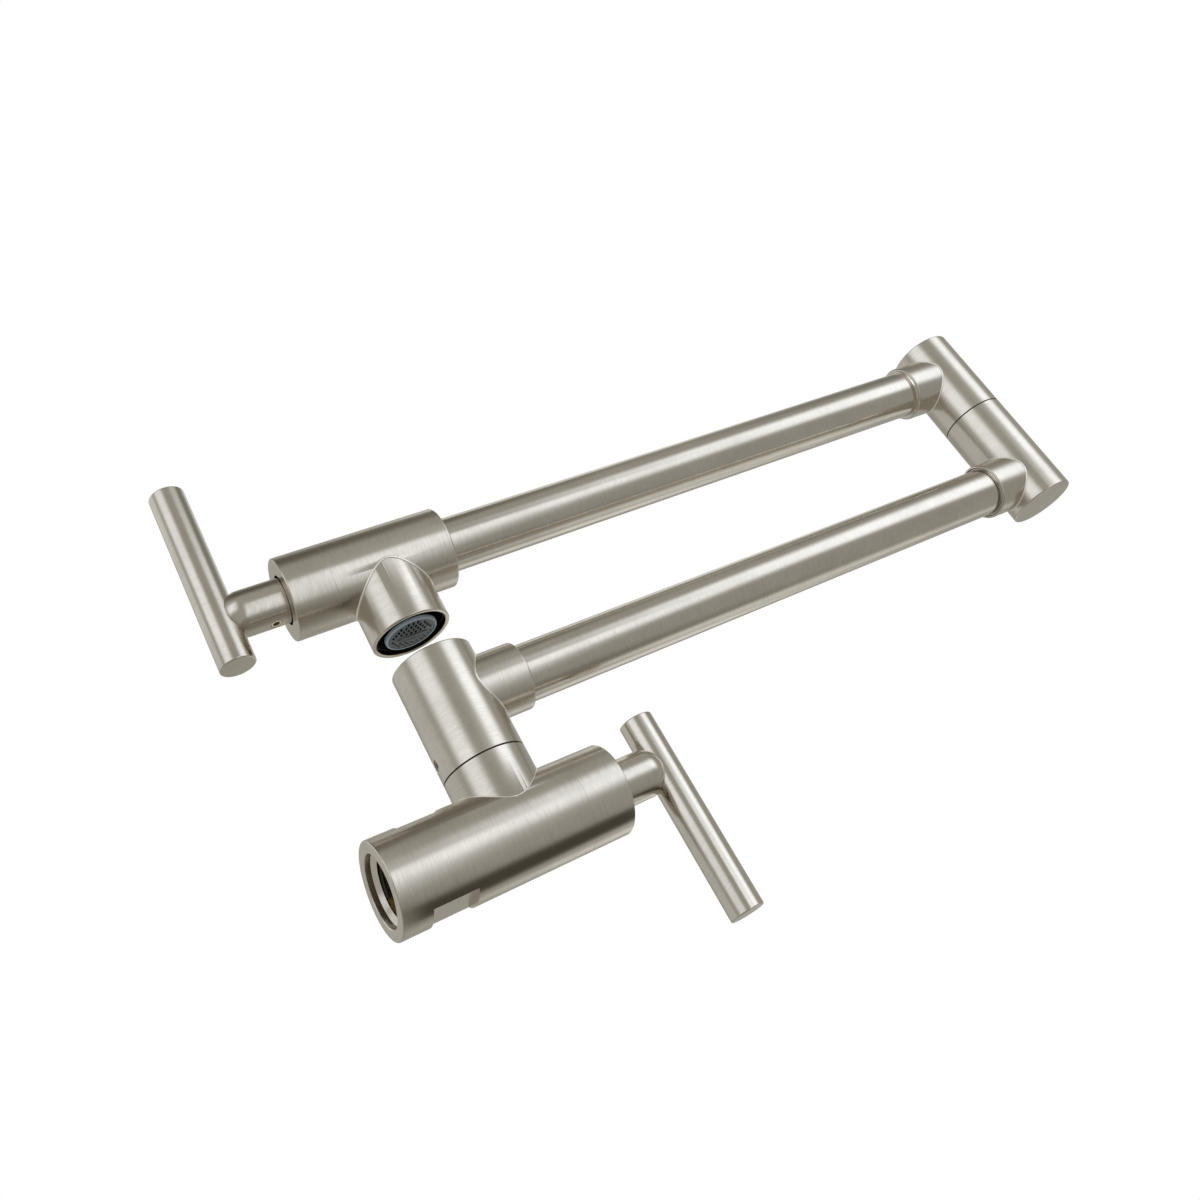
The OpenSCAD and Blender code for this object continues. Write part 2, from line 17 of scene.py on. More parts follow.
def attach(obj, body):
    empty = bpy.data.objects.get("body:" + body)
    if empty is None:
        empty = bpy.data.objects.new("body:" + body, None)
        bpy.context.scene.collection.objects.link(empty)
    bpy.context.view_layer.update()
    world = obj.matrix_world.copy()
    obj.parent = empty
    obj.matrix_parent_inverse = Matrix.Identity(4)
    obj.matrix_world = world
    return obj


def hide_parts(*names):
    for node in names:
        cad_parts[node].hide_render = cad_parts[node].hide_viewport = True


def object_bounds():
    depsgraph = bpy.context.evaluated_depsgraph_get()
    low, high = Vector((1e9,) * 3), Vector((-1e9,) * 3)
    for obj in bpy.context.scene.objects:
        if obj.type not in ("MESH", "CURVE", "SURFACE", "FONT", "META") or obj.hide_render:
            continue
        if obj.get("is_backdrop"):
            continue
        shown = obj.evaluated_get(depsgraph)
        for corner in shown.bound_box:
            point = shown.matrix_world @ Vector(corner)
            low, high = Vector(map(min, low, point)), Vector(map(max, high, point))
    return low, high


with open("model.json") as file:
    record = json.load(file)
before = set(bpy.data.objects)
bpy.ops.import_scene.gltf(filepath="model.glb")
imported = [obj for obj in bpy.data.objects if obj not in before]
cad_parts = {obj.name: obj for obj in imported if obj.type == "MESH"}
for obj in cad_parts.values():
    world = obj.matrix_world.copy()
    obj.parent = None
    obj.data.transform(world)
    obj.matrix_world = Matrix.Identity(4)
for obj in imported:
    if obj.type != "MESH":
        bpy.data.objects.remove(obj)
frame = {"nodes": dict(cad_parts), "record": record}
CAD_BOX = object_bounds()

log = logging.getLogger("pot_filler")

Outline = Sequence[tuple[float, float]]
Test = Callable[[Vector, Vector], bool]
Colour = tuple[float, float, float]

# Facets round a piece: on its outside, in small bores, on fine curves, on handles, on screws.
ROUND_STEPS = 160
SMALL_STEPS = 96
FINE_STEPS = 192
HANDLE_STEPS = 128
SCREW_STEPS = 48
ARC_STEPS = 5

# Millimetres: points this near are one, play of a seat, how far a cutting body runs
# past what it cuts, how far past a surface a test still finds it.
WELD = 0.002
FIT = 0.04
OVER = 1
NEAR = 0.05


def mm(value: float) -> float:
    """Millimetres as metres."""
    return value * 0.001


# The axes


def shifted(place: Matrix, x: float = 0.0, y: float = 0.0, z: float = 0.0) -> Matrix:
    """A place moved along its own axes, in millimetres."""
    return place @ Matrix.Translation((mm(x), mm(y), mm(z)))


def tipped(place: Matrix, degrees: float, axis: str) -> Matrix:
    """A place turned about one of its own axes."""
    return place @ Matrix.Rotation(math.radians(degrees), 4, axis)


@dataclass(frozen=True)
class Layout:
    """Where the tap's axes lie, in millimetres and degrees."""

    neck_at: float = 45.5
    neck_l: float = 22.8
    washer_t: float = 0.5
    tee_arm_at: float = 24.2
    arm_rise: float = 58.8
    arm_l: float = 276.0
    arm_turn: float = -4.0
    fold_turn: float = 179.0
    tube_from: float = 16.0
    tube_short: float = 18.0
    elbow_drop: float = 14.7
    wall_bonnet_d: float = 30.5
    outlet_bonnet_d: float = 29.5

    @property
    def base_tee_z(self) -> float:
        """Lower face of the base tee."""
        return self.neck_l + self.washer_t

    @property
    def lower_z(self) -> float:
        """Axis of the lower arm."""
        return self.base_tee_z + self.tee_arm_at

    @property
    def upper_z(self) -> float:
        """Axis of the upper arm."""
        return self.lower_z + self.arm_rise

    @property
    def elbow_tee_z(self) -> float:
        """Lower face of the elbow's tee."""
        return self.upper_z - self.tee_arm_at

    def valve(self) -> Matrix:
        """Inlet face, with Z out of the wall along the valve."""
        return tipped(Matrix.Identity(4), 90, "X")

    def wall_core(self) -> Matrix:
        """Where the neck branches from the valve, Z along the valve."""
        return shifted(self.valve(), z=self.neck_at)

    def wall_handle(self) -> Matrix:
        """The wall handle stands half a turn round from the outlet's."""
        return tipped(self.wall_core(), 180, "Z")

    def neck(self) -> Matrix:
        """Axis of the neck and the base tee, Z up."""
        return shifted(Matrix.Identity(4), y=-self.neck_at)

    def lower_arm(self) -> Matrix:
        """The neck's axis, turned so that -Y runs along the lower arm."""
        return tipped(self.neck(), self.arm_turn, "Z")

    def elbow(self) -> Matrix:
        """Axis of the elbow, turned as the lower arm is."""
        return shifted(self.lower_arm(), y=-self.arm_l)

    def upper_arm(self) -> Matrix:
        """Axis of the elbow, turned so that -Y runs along the upper arm."""
        return tipped(self.elbow(), self.fold_turn, "Z")

    def outlet_core(self) -> Matrix:
        """Where the spout branches from the outlet valve, Z along the valve."""
        return tipped(shifted(self.upper_arm(), y=-self.arm_l, z=self.upper_z), 90, "X")

    def spout(self) -> Matrix:
        """Axis of the spout, Z down."""
        return tipped(self.outlet_core(), 90, "X")


# The bench, where every piece is made


class Bench:
    """Turning, cutting, joining and easing, each on one piece at a time."""

    @staticmethod
    def clear() -> None:
        """Leaves every object deselected."""
        if bpy.context.object and bpy.context.object.mode != "OBJECT":
            bpy.ops.object.mode_set(mode="OBJECT")
        bpy.ops.object.select_all(action="DESELECT")

    @staticmethod
    def take(piece: bpy.types.Object) -> None:
        """Makes one piece the only one selected, and the active one.

        Args:
            piece: The piece that the next operator works on.
        """
        Bench.clear()
        piece.select_set(True)
        bpy.context.view_layer.objects.active = piece

    @staticmethod
    def settle(piece: bpy.types.Object, place: Matrix) -> bpy.types.Object:
        """Moves a piece to its place and leaves that place in its mesh.

        Args:
            piece: The piece, modelled at the origin.
            place: Where it goes, turned and scaled as it should be.

        Returns:
            The piece.
        """
        Bench.take(piece)
        piece.matrix_world = place
        bpy.ops.object.transform_apply(location=True, rotation=True, scale=True)
        return piece

    @staticmethod
    def turn(
        name: str, outline: Outline, place: Matrix, steps: int = ROUND_STEPS
    ) -> bpy.types.Object:
        """Turns an outline round the local Z axis, as on a lathe.

        Args:
            name: Name of the new piece.
            outline: Points (radius, height) in millimetres. It starts and ends on
                the axis, or ends where it starts.
            place: Where local Z runs.
            steps: Facets round the piece.

        Returns:
            The closed, turned piece.
        """
        Bench.clear()
        bpy.ops.mesh.primitive_plane_add(size=mm(1), location=(0, 0, 0))
        piece = bpy.context.object
        piece.name = piece.data.name = name
        bpy.ops.object.mode_set(mode="EDIT")
        bpy.ops.mesh.select_mode(type="VERT")
        bpy.ops.mesh.select_all(action="SELECT")
        bpy.ops.mesh.merge(type="CENTER")
        start = outline[0]
        bpy.ops.transform.translate(value=(mm(start[0]), 0, mm(start[1])))
        for here, there in pairwise(outline):
            step = (mm(there[0] - here[0]), 0, mm(there[1] - here[1]))
            bpy.ops.mesh.extrude_region_move(TRANSFORM_OT_translate={"value": step})
        bpy.ops.mesh.select_all(action="SELECT")
        bpy.ops.mesh.spin(steps=steps, angle=math.tau, center=(0, 0, 0), axis=(0, 0, 1))
        bpy.ops.mesh.select_all(action="SELECT")
        bpy.ops.mesh.remove_doubles(threshold=mm(WELD))
        bpy.ops.mesh.normals_make_consistent(inside=False)
        bpy.ops.object.mode_set(mode="OBJECT")
        return Bench.settle(piece, place)

    @staticmethod
    def block(name: str, size: tuple[float, float, float], place: Matrix) -> bpy.types.Object:
        """A block for cutting, centred on its place.

        Args:
            name: Name of the block.
            size: Its three sides in millimetres.
            place: Its middle and its directions.

        Returns:
            The block.
        """
        Bench.clear()
        bpy.ops.mesh.primitive_cube_add(size=1)
        piece = bpy.context.object
        piece.name = piece.data.name = name
        return Bench.settle(piece, place @ Matrix.Diagonal((*(mm(s) for s in size), 1)))

    @staticmethod
    def combine(piece: bpy.types.Object, tool: bpy.types.Object, how: str) -> bpy.types.Object:
        """Joins a tool to a piece, or cuts it out, and clears the tool away.

        Args:
            piece: The piece that is kept.
            tool: The body that is added or cut out.
            how: UNION, DIFFERENCE or INTERSECT.

        Returns:
            The piece.
        """
        Bench.take(piece)
        bpy.ops.object.modifier_add(type="BOOLEAN")
        modifier = piece.modifiers[-1]
        modifier.operation = how
        modifier.solver = "EXACT"
        modifier.object = tool
        bpy.ops.object.modifier_apply(modifier=modifier.name)
        bpy.data.objects.remove(tool)
        return piece

    @staticmethod
    def join(piece: bpy.types.Object, *tools: bpy.types.Object) -> bpy.types.Object:
        """Grows other bodies into a piece.

        Args:
            piece: The piece that is kept.
            tools: The bodies that become part of it.

        Returns:
            The piece.
        """
        for tool in tools:
            Bench.combine(piece, tool, "UNION")
        return piece

    @staticmethod
    def cut(piece: bpy.types.Object, *tools: bpy.types.Object) -> bpy.types.Object:
        """Cuts other bodies out of a piece.

        Args:
            piece: The piece that is kept.
            tools: The bodies to cut out.

        Returns:
            The piece.
        """
        for tool in tools:
            Bench.combine(piece, tool, "DIFFERENCE")
        return piece

    @staticmethod
    def ease(
        piece: bpy.types.Object, on_edge: Test, width: float, segments: int
    ) -> bpy.types.Object:
        """Rounds the edges whose two ends both lie where the test says.

        Args:
            piece: The piece with the edges.
            on_edge: Takes the two ends of an edge, in metres.
            width: Width of the rounding in millimetres.
            segments: Strips across the rounding.

        Returns:
            The piece.
        """
        Bench.take(piece)
        bpy.ops.object.mode_set(mode="EDIT")
        bpy.ops.mesh.select_mode(type="EDGE")
        bpy.ops.mesh.select_all(action="DESELECT")
        shape = bmesh.from_edit_mesh(piece.data)
        chosen = 0
        for edge in shape.edges:
            if on_edge(edge.verts[0].co, edge.verts[1].co):
                edge.select_set(True)
                chosen += 1
        bmesh.update_edit_mesh(piece.data)
        if chosen:
            bpy.ops.mesh.bevel(
                offset=mm(width), segments=segments, affect="EDGES", clamp_overlap=True
            )
        bpy.ops.object.mode_set(mode="OBJECT")
        log.info("%s: eased %d edges by %.2f mm", piece.name, chosen, width)
        return piece

    @staticmethod
    def smooth(piece: bpy.types.Object, degrees: float = 32.0) -> bpy.types.Object:
        """Shades the rounds smooth and keeps the flats flat.

        Args:
            piece: The piece.
            degrees: The sharpest bend that is still a round.

        Returns:
            The piece.
        """
        Bench.take(piece)
        bpy.ops.object.shade_smooth_by_angle(angle=math.radians(degrees))
        bpy.ops.object.modifier_add(type="WEIGHTED_NORMAL")
        modifier = piece.modifiers[-1]
        modifier.keep_sharp = True
        bpy.ops.object.modifier_apply(modifier=modifier.name)
        return piece

    @staticmethod
    def dress(
        piece: bpy.types.Object,
        main: bpy.types.Material,
        others: Iterable[tuple[bpy.types.Material, Test]] = (),
    ) -> bpy.types.Object:
        """Gives a piece its finishes.

        Args:
            piece: The piece.
            main: The finish all over.
            others: Further finishes, each with a test that takes a face's centre
                and normal, in metres.

        Returns:
            The piece.
        """
        piece.data.materials.clear()
        piece.data.materials.append(main)
        for material, test in others:
            piece.data.materials.append(material)
            slot = len(piece.data.materials) - 1
            Bench.take(piece)
            piece.active_material_index = slot
            bpy.ops.object.mode_set(mode="EDIT")
            bpy.ops.mesh.select_mode(type="FACE")
            bpy.ops.mesh.select_all(action="DESELECT")
            shape = bmesh.from_edit_mesh(piece.data)
            for face in shape.faces:
                if test(face.calc_center_median(), face.normal):
                    face.select_set(True)
            bmesh.update_edit_mesh(piece.data)
            bpy.ops.object.material_slot_assign()
            bpy.ops.object.mode_set(mode="OBJECT")
        return piece

    @staticmethod
    def hand_over(piece: bpy.types.Object, body: str, slot: str, *nodes: str) -> None:
        """Puts a finished piece on its body, in place of its plain solids.

        Args:
            piece: The finished piece.
            body: The body that carries it.
            slot: The record's material slot that its finish stands for. Not used.
            nodes: The plain solids that it replaces.
        """
        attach(piece, body)
        if nodes:
            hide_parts(*nodes)
        log.info("%s: %d faces on %s", piece.name, len(piece.data.polygons), body)


def rounded(points: Outline, radii: dict[int, float]) -> list[tuple[float, float]]:
    """Rounds chosen corners of an outline.

    Args:
        points: The outline's corners, in millimetres.
        radii: Radius at a corner, by its place in the outline.

    Returns:
        The outline with an arc in place of each chosen corner.
    """
    out: list[tuple[float, float]] = []
    for index, point in enumerate(points):
        radius = radii.get(index)
        if radius is None:
            out.append(point)
            continue
        corner = Vector(point)
        back = (Vector(points[index - 1]) - corner).normalized()
        on = (Vector(points[(index + 1) % len(points)]) - corner).normalized()
        half = back.angle(on) / 2
        reach = radius / math.tan(half)
        centre = corner + (back + on).normalized() * (radius / math.sin(half))
        start = corner + back * reach - centre
        sweep = start.angle_signed(corner + on * reach - centre)
        for k in range(ARC_STEPS + 1):
            spoke = start.copy()
            spoke.rotate(Matrix.Rotation(-sweep * k / ARC_STEPS, 2))
            out.append(tuple(centre + spoke))
    return out


def stepped(points: Outline, longest: float = 8.0) -> list[tuple[float, float]]:
    """Splits an outline's long straight runs, so that no facet is a long sliver.

    Args:
        points: The outline's corners, in millimetres.
        longest: The longest run that stays whole.

    Returns:
        The outline with the further points.
    """
    out: list[tuple[float, float]] = [points[0]]
    for here, there in pairwise(points):
        parts = max(1, math.ceil(math.dist(here, there) / longest))
        run, rise = there[0] - here[0], there[1] - here[1]
        out += [
            (here[0] + run * k / parts, here[1] + rise * k / parts) for k in range(1, parts + 1)
        ]
    return out


def radial(point: Vector, place: Matrix) -> tuple[float, float]:
    """Distance from a place's Z axis and height along it, in millimetres."""
    local = place.inverted() @ point
    return math.hypot(local.x, local.y) * 1000, local.z * 1000


# Shared shader effects


class Sockets:
    """Makes the sockets of a shader node group."""

    def __init__(self, name: str) -> None:
        """Starts an empty group with its input and output nodes.

        Args:
            name: Name of the group.
        """
        self.tree = bpy.data.node_groups.new(name, "ShaderNodeTree")
        self.source = self.tree.nodes.new("NodeGroupInput")
        self.sink = self.tree.nodes.new("NodeGroupOutput")

    def takes(self, name: str, kind: str, default: object = None) -> None:
        """Adds an input.

        Args:
            name: Name of the input.
            kind: Float or Vector.
            default: Its value where nothing is linked to it.
        """
        socket = self.tree.interface.new_socket(
            name, in_out="INPUT", socket_type=f"NodeSocket{kind}"
        )
        if default is not None:
            socket.default_value = default

    def gives(self, name: str, kind: str) -> None:
        """Adds an output."""
        self.tree.interface.new_socket(name, in_out="OUTPUT", socket_type=f"NodeSocket{kind}")


class Wiring:
    """Places nodes in a tree and links them."""

    def __init__(self, tree: bpy.types.NodeTree) -> None:
        """Works on one tree."""
        self.tree = tree

    def node(self, kind: str, **settings: object) -> bpy.types.Node:
        """Adds a node.

        Args:
            kind: The node's Blender type.
            settings: Its properties.

        Returns:
            The node.
        """
        made = self.tree.nodes.new(kind)
        for key, value in settings.items():
            setattr(made, key, value)
        return made

    def feed(self, socket: bpy.types.NodeSocket, value: object) -> None:
        """Links a socket into an input, or sets the input's own value.

        Args:
            socket: The input.
            value: A socket to link, or a plain value.
        """
        if isinstance(value, bpy.types.NodeSocket):
            self.tree.links.new(value, socket)
        elif value is not None:
            socket.default_value = value

    def math(self, operation: str, *values: object) -> bpy.types.NodeSocket:
        """One sum on numbers.

        Args:
            operation: Which sum.
            values: Sockets or plain numbers.

        Returns:
            The result's socket.
        """
        made = self.node("ShaderNodeMath", operation=operation)
        for socket, value in zip(made.inputs, values):
            self.feed(socket, value)
        return made.outputs[0]

    def vector(self, operation: str, *values: object) -> bpy.types.Node:
        """One sum on vectors.

        Args:
            operation: Which sum.
            values: Sockets or plain vectors.

        Returns:
            The node, because its result may be a number or a vector.
        """
        made = self.node("ShaderNodeVectorMath", operation=operation)
        for socket, value in zip(made.inputs, values):
            self.feed(socket, value)
        return made

    def spread(
        self,
        value: object,
        low: object,
        high: object,
        to_low: float,
        to_high: float,
        smooth: bool = False,
    ) -> bpy.types.NodeSocket:
        """Maps a number from one range to another, and holds it there.

        Args:
            value: The number.
            low: Where the first range starts.
            high: Where it ends.
            to_low: What its start becomes.
            to_high: What its end becomes.
            smooth: Whether it eases in and out.

        Returns:
            The result's socket.
        """
        made = self.node("ShaderNodeMapRange", clamp=True)
        made.interpolation_type = "SMOOTHSTEP" if smooth else "LINEAR"
        for socket, entry in zip(made.inputs, (value, low, high, to_low, to_high)):
            self.feed(socket, entry)
        return made.outputs[0]

    def noise(
        self, at: object, scale: float, detail: float = 2.0, rough: float = 0.5
    ) -> bpy.types.NodeSocket:
        """Plain noise between 0 and 1.

        Args:
            at: The place.
            scale: How fine it is.
            detail: How many finer layers it has.
            rough: How strong they are.

        Returns:
            The result's socket.
        """
        made = self.node("ShaderNodeTexNoise")
        self.feed(made.inputs["Vector"], at)
        made.inputs["Scale"].default_value = scale
        made.inputs["Detail"].default_value = detail
        made.inputs["Roughness"].default_value = rough
        return made.outputs["Fac"]

    def mix(self, share: object, low: object, high: object) -> bpy.types.NodeSocket:
        """Mixes two colours.

        Args:
            share: How much of the second one.
            low: The first colour.
            high: The second colour.

        Returns:
            The result's socket.
        """
        made = self.node("ShaderNodeMix", data_type="RGBA")
        self.feed(made.inputs["Factor"], share)
        self.feed(made.inputs["A"], (*low, 1) if isinstance(low, tuple) else low)
        self.feed(made.inputs["B"], (*high, 1) if isinstance(high, tuple) else high)
        return made.outputs["Result"]


# The brushing: how dense its lines are and how much they wander, shares of the fine
# and the coarse ones, how dense the coarse ones are beside the fine, how fine the
# slow drift of tone is, shares of lines and drift.
LINES_PER_MM, WANDER = 2.5, 3.0
FINE_SHARE, COARSE_SHARE = 0.84, 0.16
COARSE_LINES = 0.22
DRIFT_SCALE = 60.0
LINE_TONE, DRIFT_TONE = 0.6, 0.4
# The part of a noise's range that its colours are spread over, and the bumps' depth.
NOISE_LOW, NOISE_HIGH = 0.3, 0.7
BUMP_MM = 0.02


def turned_brushing() -> bpy.types.NodeTree:
    """Fine lines round a turned piece: across its axis, and in rings on its ends.

    Returns:
        A group that takes a place with the axis on Z, and gives the lines' height
        and a slow drift of tone, both between 0 and 1.
    """
    name = "Turned brushing"
    if name in bpy.data.node_groups:
        return bpy.data.node_groups[name]
    group = Sockets(name)
    group.takes("Place", "Vector")
    group.takes("Lines per mm", "Float", LINES_PER_MM)
    group.takes("Wander", "Float", WANDER)
    group.gives("Lines", "Float")
    group.gives("Drift", "Float")
    wire = Wiring(group.tree)
    parts = wire.node("ShaderNodeSeparateXYZ")
    wire.feed(parts.inputs[0], group.source.outputs["Place"])
    flat = wire.node("ShaderNodeCombineXYZ")
    wire.feed(flat.inputs[0], parts.outputs[0])
    wire.feed(flat.inputs[1], parts.outputs[1])
    radius = wire.vector("LENGTH", flat.outputs[0]).outputs["Value"]
    round_it = wire.vector("NORMALIZE", flat.outputs[0]).outputs["Vector"]
    wander = wire.vector("SCALE", round_it)
    wire.feed(wander.inputs["Scale"], group.source.outputs["Wander"])
    along = wire.math("ADD", parts.outputs[2], radius)
    per_metre = wire.math("MULTIPLY", group.source.outputs["Lines per mm"], 1000.0)
    lines_at = wire.math("MULTIPLY", along, per_metre)
    stack = wire.node("ShaderNodeCombineXYZ")
    wire.feed(stack.inputs[2], lines_at)
    place = wire.vector("ADD", wander.outputs[0], stack.outputs[0]).outputs["Vector"]
    fine = wire.noise(place, 1.0, detail=3.0, rough=0.6)
    wider = wire.vector("MULTIPLY", place, (1.0, 1.0, COARSE_LINES)).outputs["Vector"]
    lines = wire.math(
        "ADD",
        wire.math("MULTIPLY", fine, FINE_SHARE),
        wire.math("MULTIPLY", wire.noise(wider, 1.0), COARSE_SHARE),
    )
    wire.feed(group.sink.inputs["Lines"], lines)
    wire.feed(group.sink.inputs["Drift"], wire.noise(group.source.outputs["Place"], DRIFT_SCALE))
    return group.tree


class Satin(Enum):
    """Roughness of the plating and depth of its brushing on each kind of piece."""

    CAST = (0.22, 0.32)
    TUBE = (0.165, 0.28)
    BONNET = (0.22, 0.32)
    HANDLE = (0.18, 0.28)
    EDGE = (0.13, 0.05)


@dataclass(frozen=True)
class BrushedNickel:
    """Satin nickel plate, brushed while the piece turned on its own axis."""

    name: str
    axis: Matrix
    satin: Satin = Satin.CAST
    colour: Colour = (0.735, 0.692, 0.612)
    shade: Colour = (0.585, 0.548, 0.483)
    swing: float = 0.045

    def make(self) -> bpy.types.Material:
        """Builds the material.

        Returns:
            The finish, with its lines square to the axis.
        """
        if self.name in bpy.data.materials:
            return bpy.data.materials[self.name]
        roughness, depth = self.satin.value
        material = bpy.data.materials.new(self.name)
        material.use_nodes = True
        wire = Wiring(material.node_tree)
        shader = material.node_tree.nodes["Principled BSDF"]
        spot = wire.node("ShaderNodeTexCoord")
        turn = wire.node("ShaderNodeMapping", vector_type="TEXTURE")
        wire.feed(turn.inputs["Vector"], spot.outputs["Object"])
        turn.inputs["Location"].default_value = self.axis.to_translation()
        turn.inputs["Rotation"].default_value = self.axis.to_euler()
        brushing = wire.node("ShaderNodeGroup", node_tree=turned_brushing())
        wire.feed(brushing.inputs["Place"], turn.outputs["Vector"])
        lines, drift = brushing.outputs["Lines"], brushing.outputs["Drift"]
        tone = wire.math(
            "ADD", wire.math("MULTIPLY", lines, LINE_TONE), wire.math("MULTIPLY", drift, DRIFT_TONE)
        )
        share = wire.spread(tone, NOISE_LOW, NOISE_HIGH, 0, 1)
        wire.feed(shader.inputs["Base Color"], wire.mix(share, self.shade, self.colour))
        wire.feed(
            shader.inputs["Roughness"],
            wire.spread(tone, NOISE_LOW, NOISE_HIGH, roughness + self.swing, roughness - self.swing),
        )
        shader.inputs["Metallic"].default_value = 1.0
        bump = wire.node("ShaderNodeBump")
        bump.inputs["Strength"].default_value = depth
        bump.inputs["Distance"].default_value = mm(BUMP_MM)
        wire.feed(bump.inputs["Height"], lines)
        wire.feed(shader.inputs["Normal"], bump.outputs["Normal"])
        return material


def polished_highlit_edge() -> bpy.types.Material:
    """The plating where the polishing wheel caught an edge: smoother and hardly brushed, and coloured
    lighter than the brushed nickel as a painted highlight.
    """
    return BrushedNickel(
        "polished_highlit_edge_nickel", Matrix.Identity(4), Satin.EDGE, (0.80, 0.765, 0.700), (0.76, 0.722, 0.655)
    ).make()


@dataclass(frozen=True)
class PlainStuff:
    """A stuff with a fine mottle: rubber, plastic, ceramic, brass or steel."""

    name: str
    colour: Colour
    shade: Colour
    roughness: float
    metallic: float = 0.0
    grain: float = 900.0
    depth: float = 0.1
    gloss: float = 0.5
    swing: float = 0.04
    cloud: float = 0.12

    def make(self) -> bpy.types.Material:
        """Builds the material.

        Returns:
            The finish, mottled in colour and in roughness.
        """
        if self.name in bpy.data.materials:
            return bpy.data.materials[self.name]
        material = bpy.data.materials.new(self.name)
        material.use_nodes = True
        wire = Wiring(material.node_tree)
        shader = material.node_tree.nodes["Principled BSDF"]
        spot = wire.node("ShaderNodeTexCoord")
        speck = wire.noise(spot.outputs["Object"], self.grain, detail=3.0, rough=0.55)
        cloud = wire.noise(spot.outputs["Object"], self.grain * self.cloud)
        tone = wire.math(
            "ADD", wire.math("MULTIPLY", speck, 0.5), wire.math("MULTIPLY", cloud, 0.5)
        )
        share = wire.spread(tone, NOISE_LOW, NOISE_HIGH, 0, 1)
        wire.feed(shader.inputs["Base Color"], wire.mix(share, self.shade, self.colour))
        rough = self.roughness
        wire.feed(
            shader.inputs["Roughness"],
            wire.spread(cloud, NOISE_LOW, NOISE_HIGH, rough - self.swing, rough + self.swing),
        )
        shader.inputs["Metallic"].default_value = self.metallic
        shader.inputs["Specular IOR Level"].default_value = self.gloss
        bump = wire.node("ShaderNodeBump")
        bump.inputs["Strength"].default_value = self.depth
        bump.inputs["Distance"].default_value = mm(BUMP_MM)
        wire.feed(bump.inputs["Height"], speck)
        wire.feed(shader.inputs["Normal"], bump.outputs["Normal"])
        return material


BRASS = PlainStuff(
    "raw_brass", (0.62, 0.44, 0.16), (0.47, 0.32, 0.11), 0.30, metallic=1.0, depth=0.15
)
CERAMIC = PlainStuff("valve_ceramic", (0.86, 0.84, 0.79), (0.80, 0.78, 0.72), 0.18, depth=0.02)
RUBBER = PlainStuff(
    "seal_rubber", (0.018, 0.018, 0.018), (0.010, 0.010, 0.010), 0.55, grain=2500, depth=0.3
)
BEARING = PlainStuff(
    "bearing_plastic", (0.065, 0.060, 0.054), (0.045, 0.041, 0.037), 0.55, grain=1500
)
STEEL = PlainStuff(
    "screw_steel", (0.90, 0.84, 0.70), (0.78, 0.71, 0.57), 0.34, metallic=0.8, depth=0.2
)
AERATOR = PlainStuff(
    "aerator_plastic", (0.024, 0.033, 0.045), (0.016, 0.022, 0.031), 0.50, grain=1800, gloss=0.10
)
MESH = PlainStuff(
    "aerator_mesh", (0.130, 0.146, 0.150), (0.085, 0.097, 0.100), 0.42, grain=1800, gloss=0.4
)
# Near-black plastic: the insert's own colour, and painted shade on the aerator cup's inner wall.
INSERT_AND_SHADE = PlainStuff(
    "aerator_insert_plastic_and_shade",
    (0.006, 0.006, 0.007),
    (0.004, 0.004, 0.005),
    0.6,
    grain=1800,
    gloss=0.15,
)
# A warm, very light metal that paints a highlight on countersinks, the spout's chamfer and the set
# screw's end.
WARM_HIGHLIT_EDGE = PlainStuff(
    "warm_painted_highlight_edge", (0.96, 0.87, 0.68), (0.86, 0.76, 0.56), 0.24, metallic=0.8, depth=0.05
)
# Near-white metal on the crease beads: a painted highlight along each crease.
HIGHLIT_CREASE = PlainStuff(
    "polished_crease_painted_highlight", (0.98, 0.95, 0.90), (0.92, 0.89, 0.83), 0.25, metallic=0.85, depth=0.05
)
# Dark, rough metal as painted shade: the shade that falls down inside bores, sockets and mouth grooves.
SHADED_BORE = PlainStuff(
    "painted_shade_bore", (0.105, 0.095, 0.078), (0.055, 0.050, 0.040), 0.42, metallic=1.0, depth=0.2
)
# Near-black metal as painted shade down holes, screw sockets and narrow gaps.
SHADED_WELL = PlainStuff(
    "painted_shade_well", (0.030, 0.026, 0.021), (0.016, 0.014, 0.011), 0.30, metallic=0.6, depth=0.1
)
FLOOR_PAINT = PlainStuff(
    "floor_paint", (0.86, 0.86, 0.85), (0.84, 0.84, 0.83), 0.7, grain=40, depth=0.02
)

STUFF_BY_SLOT = {
    "raw_brass": BRASS,
    "valve_ceramic": CERAMIC,
    "rubber_seal": RUBBER,
    "bearing_plastic": BEARING,
    "screw_steel": STEEL,
    "aerator_plastic": AERATOR,
    "aerator_mesh_steel": MESH,
}


# The pieces


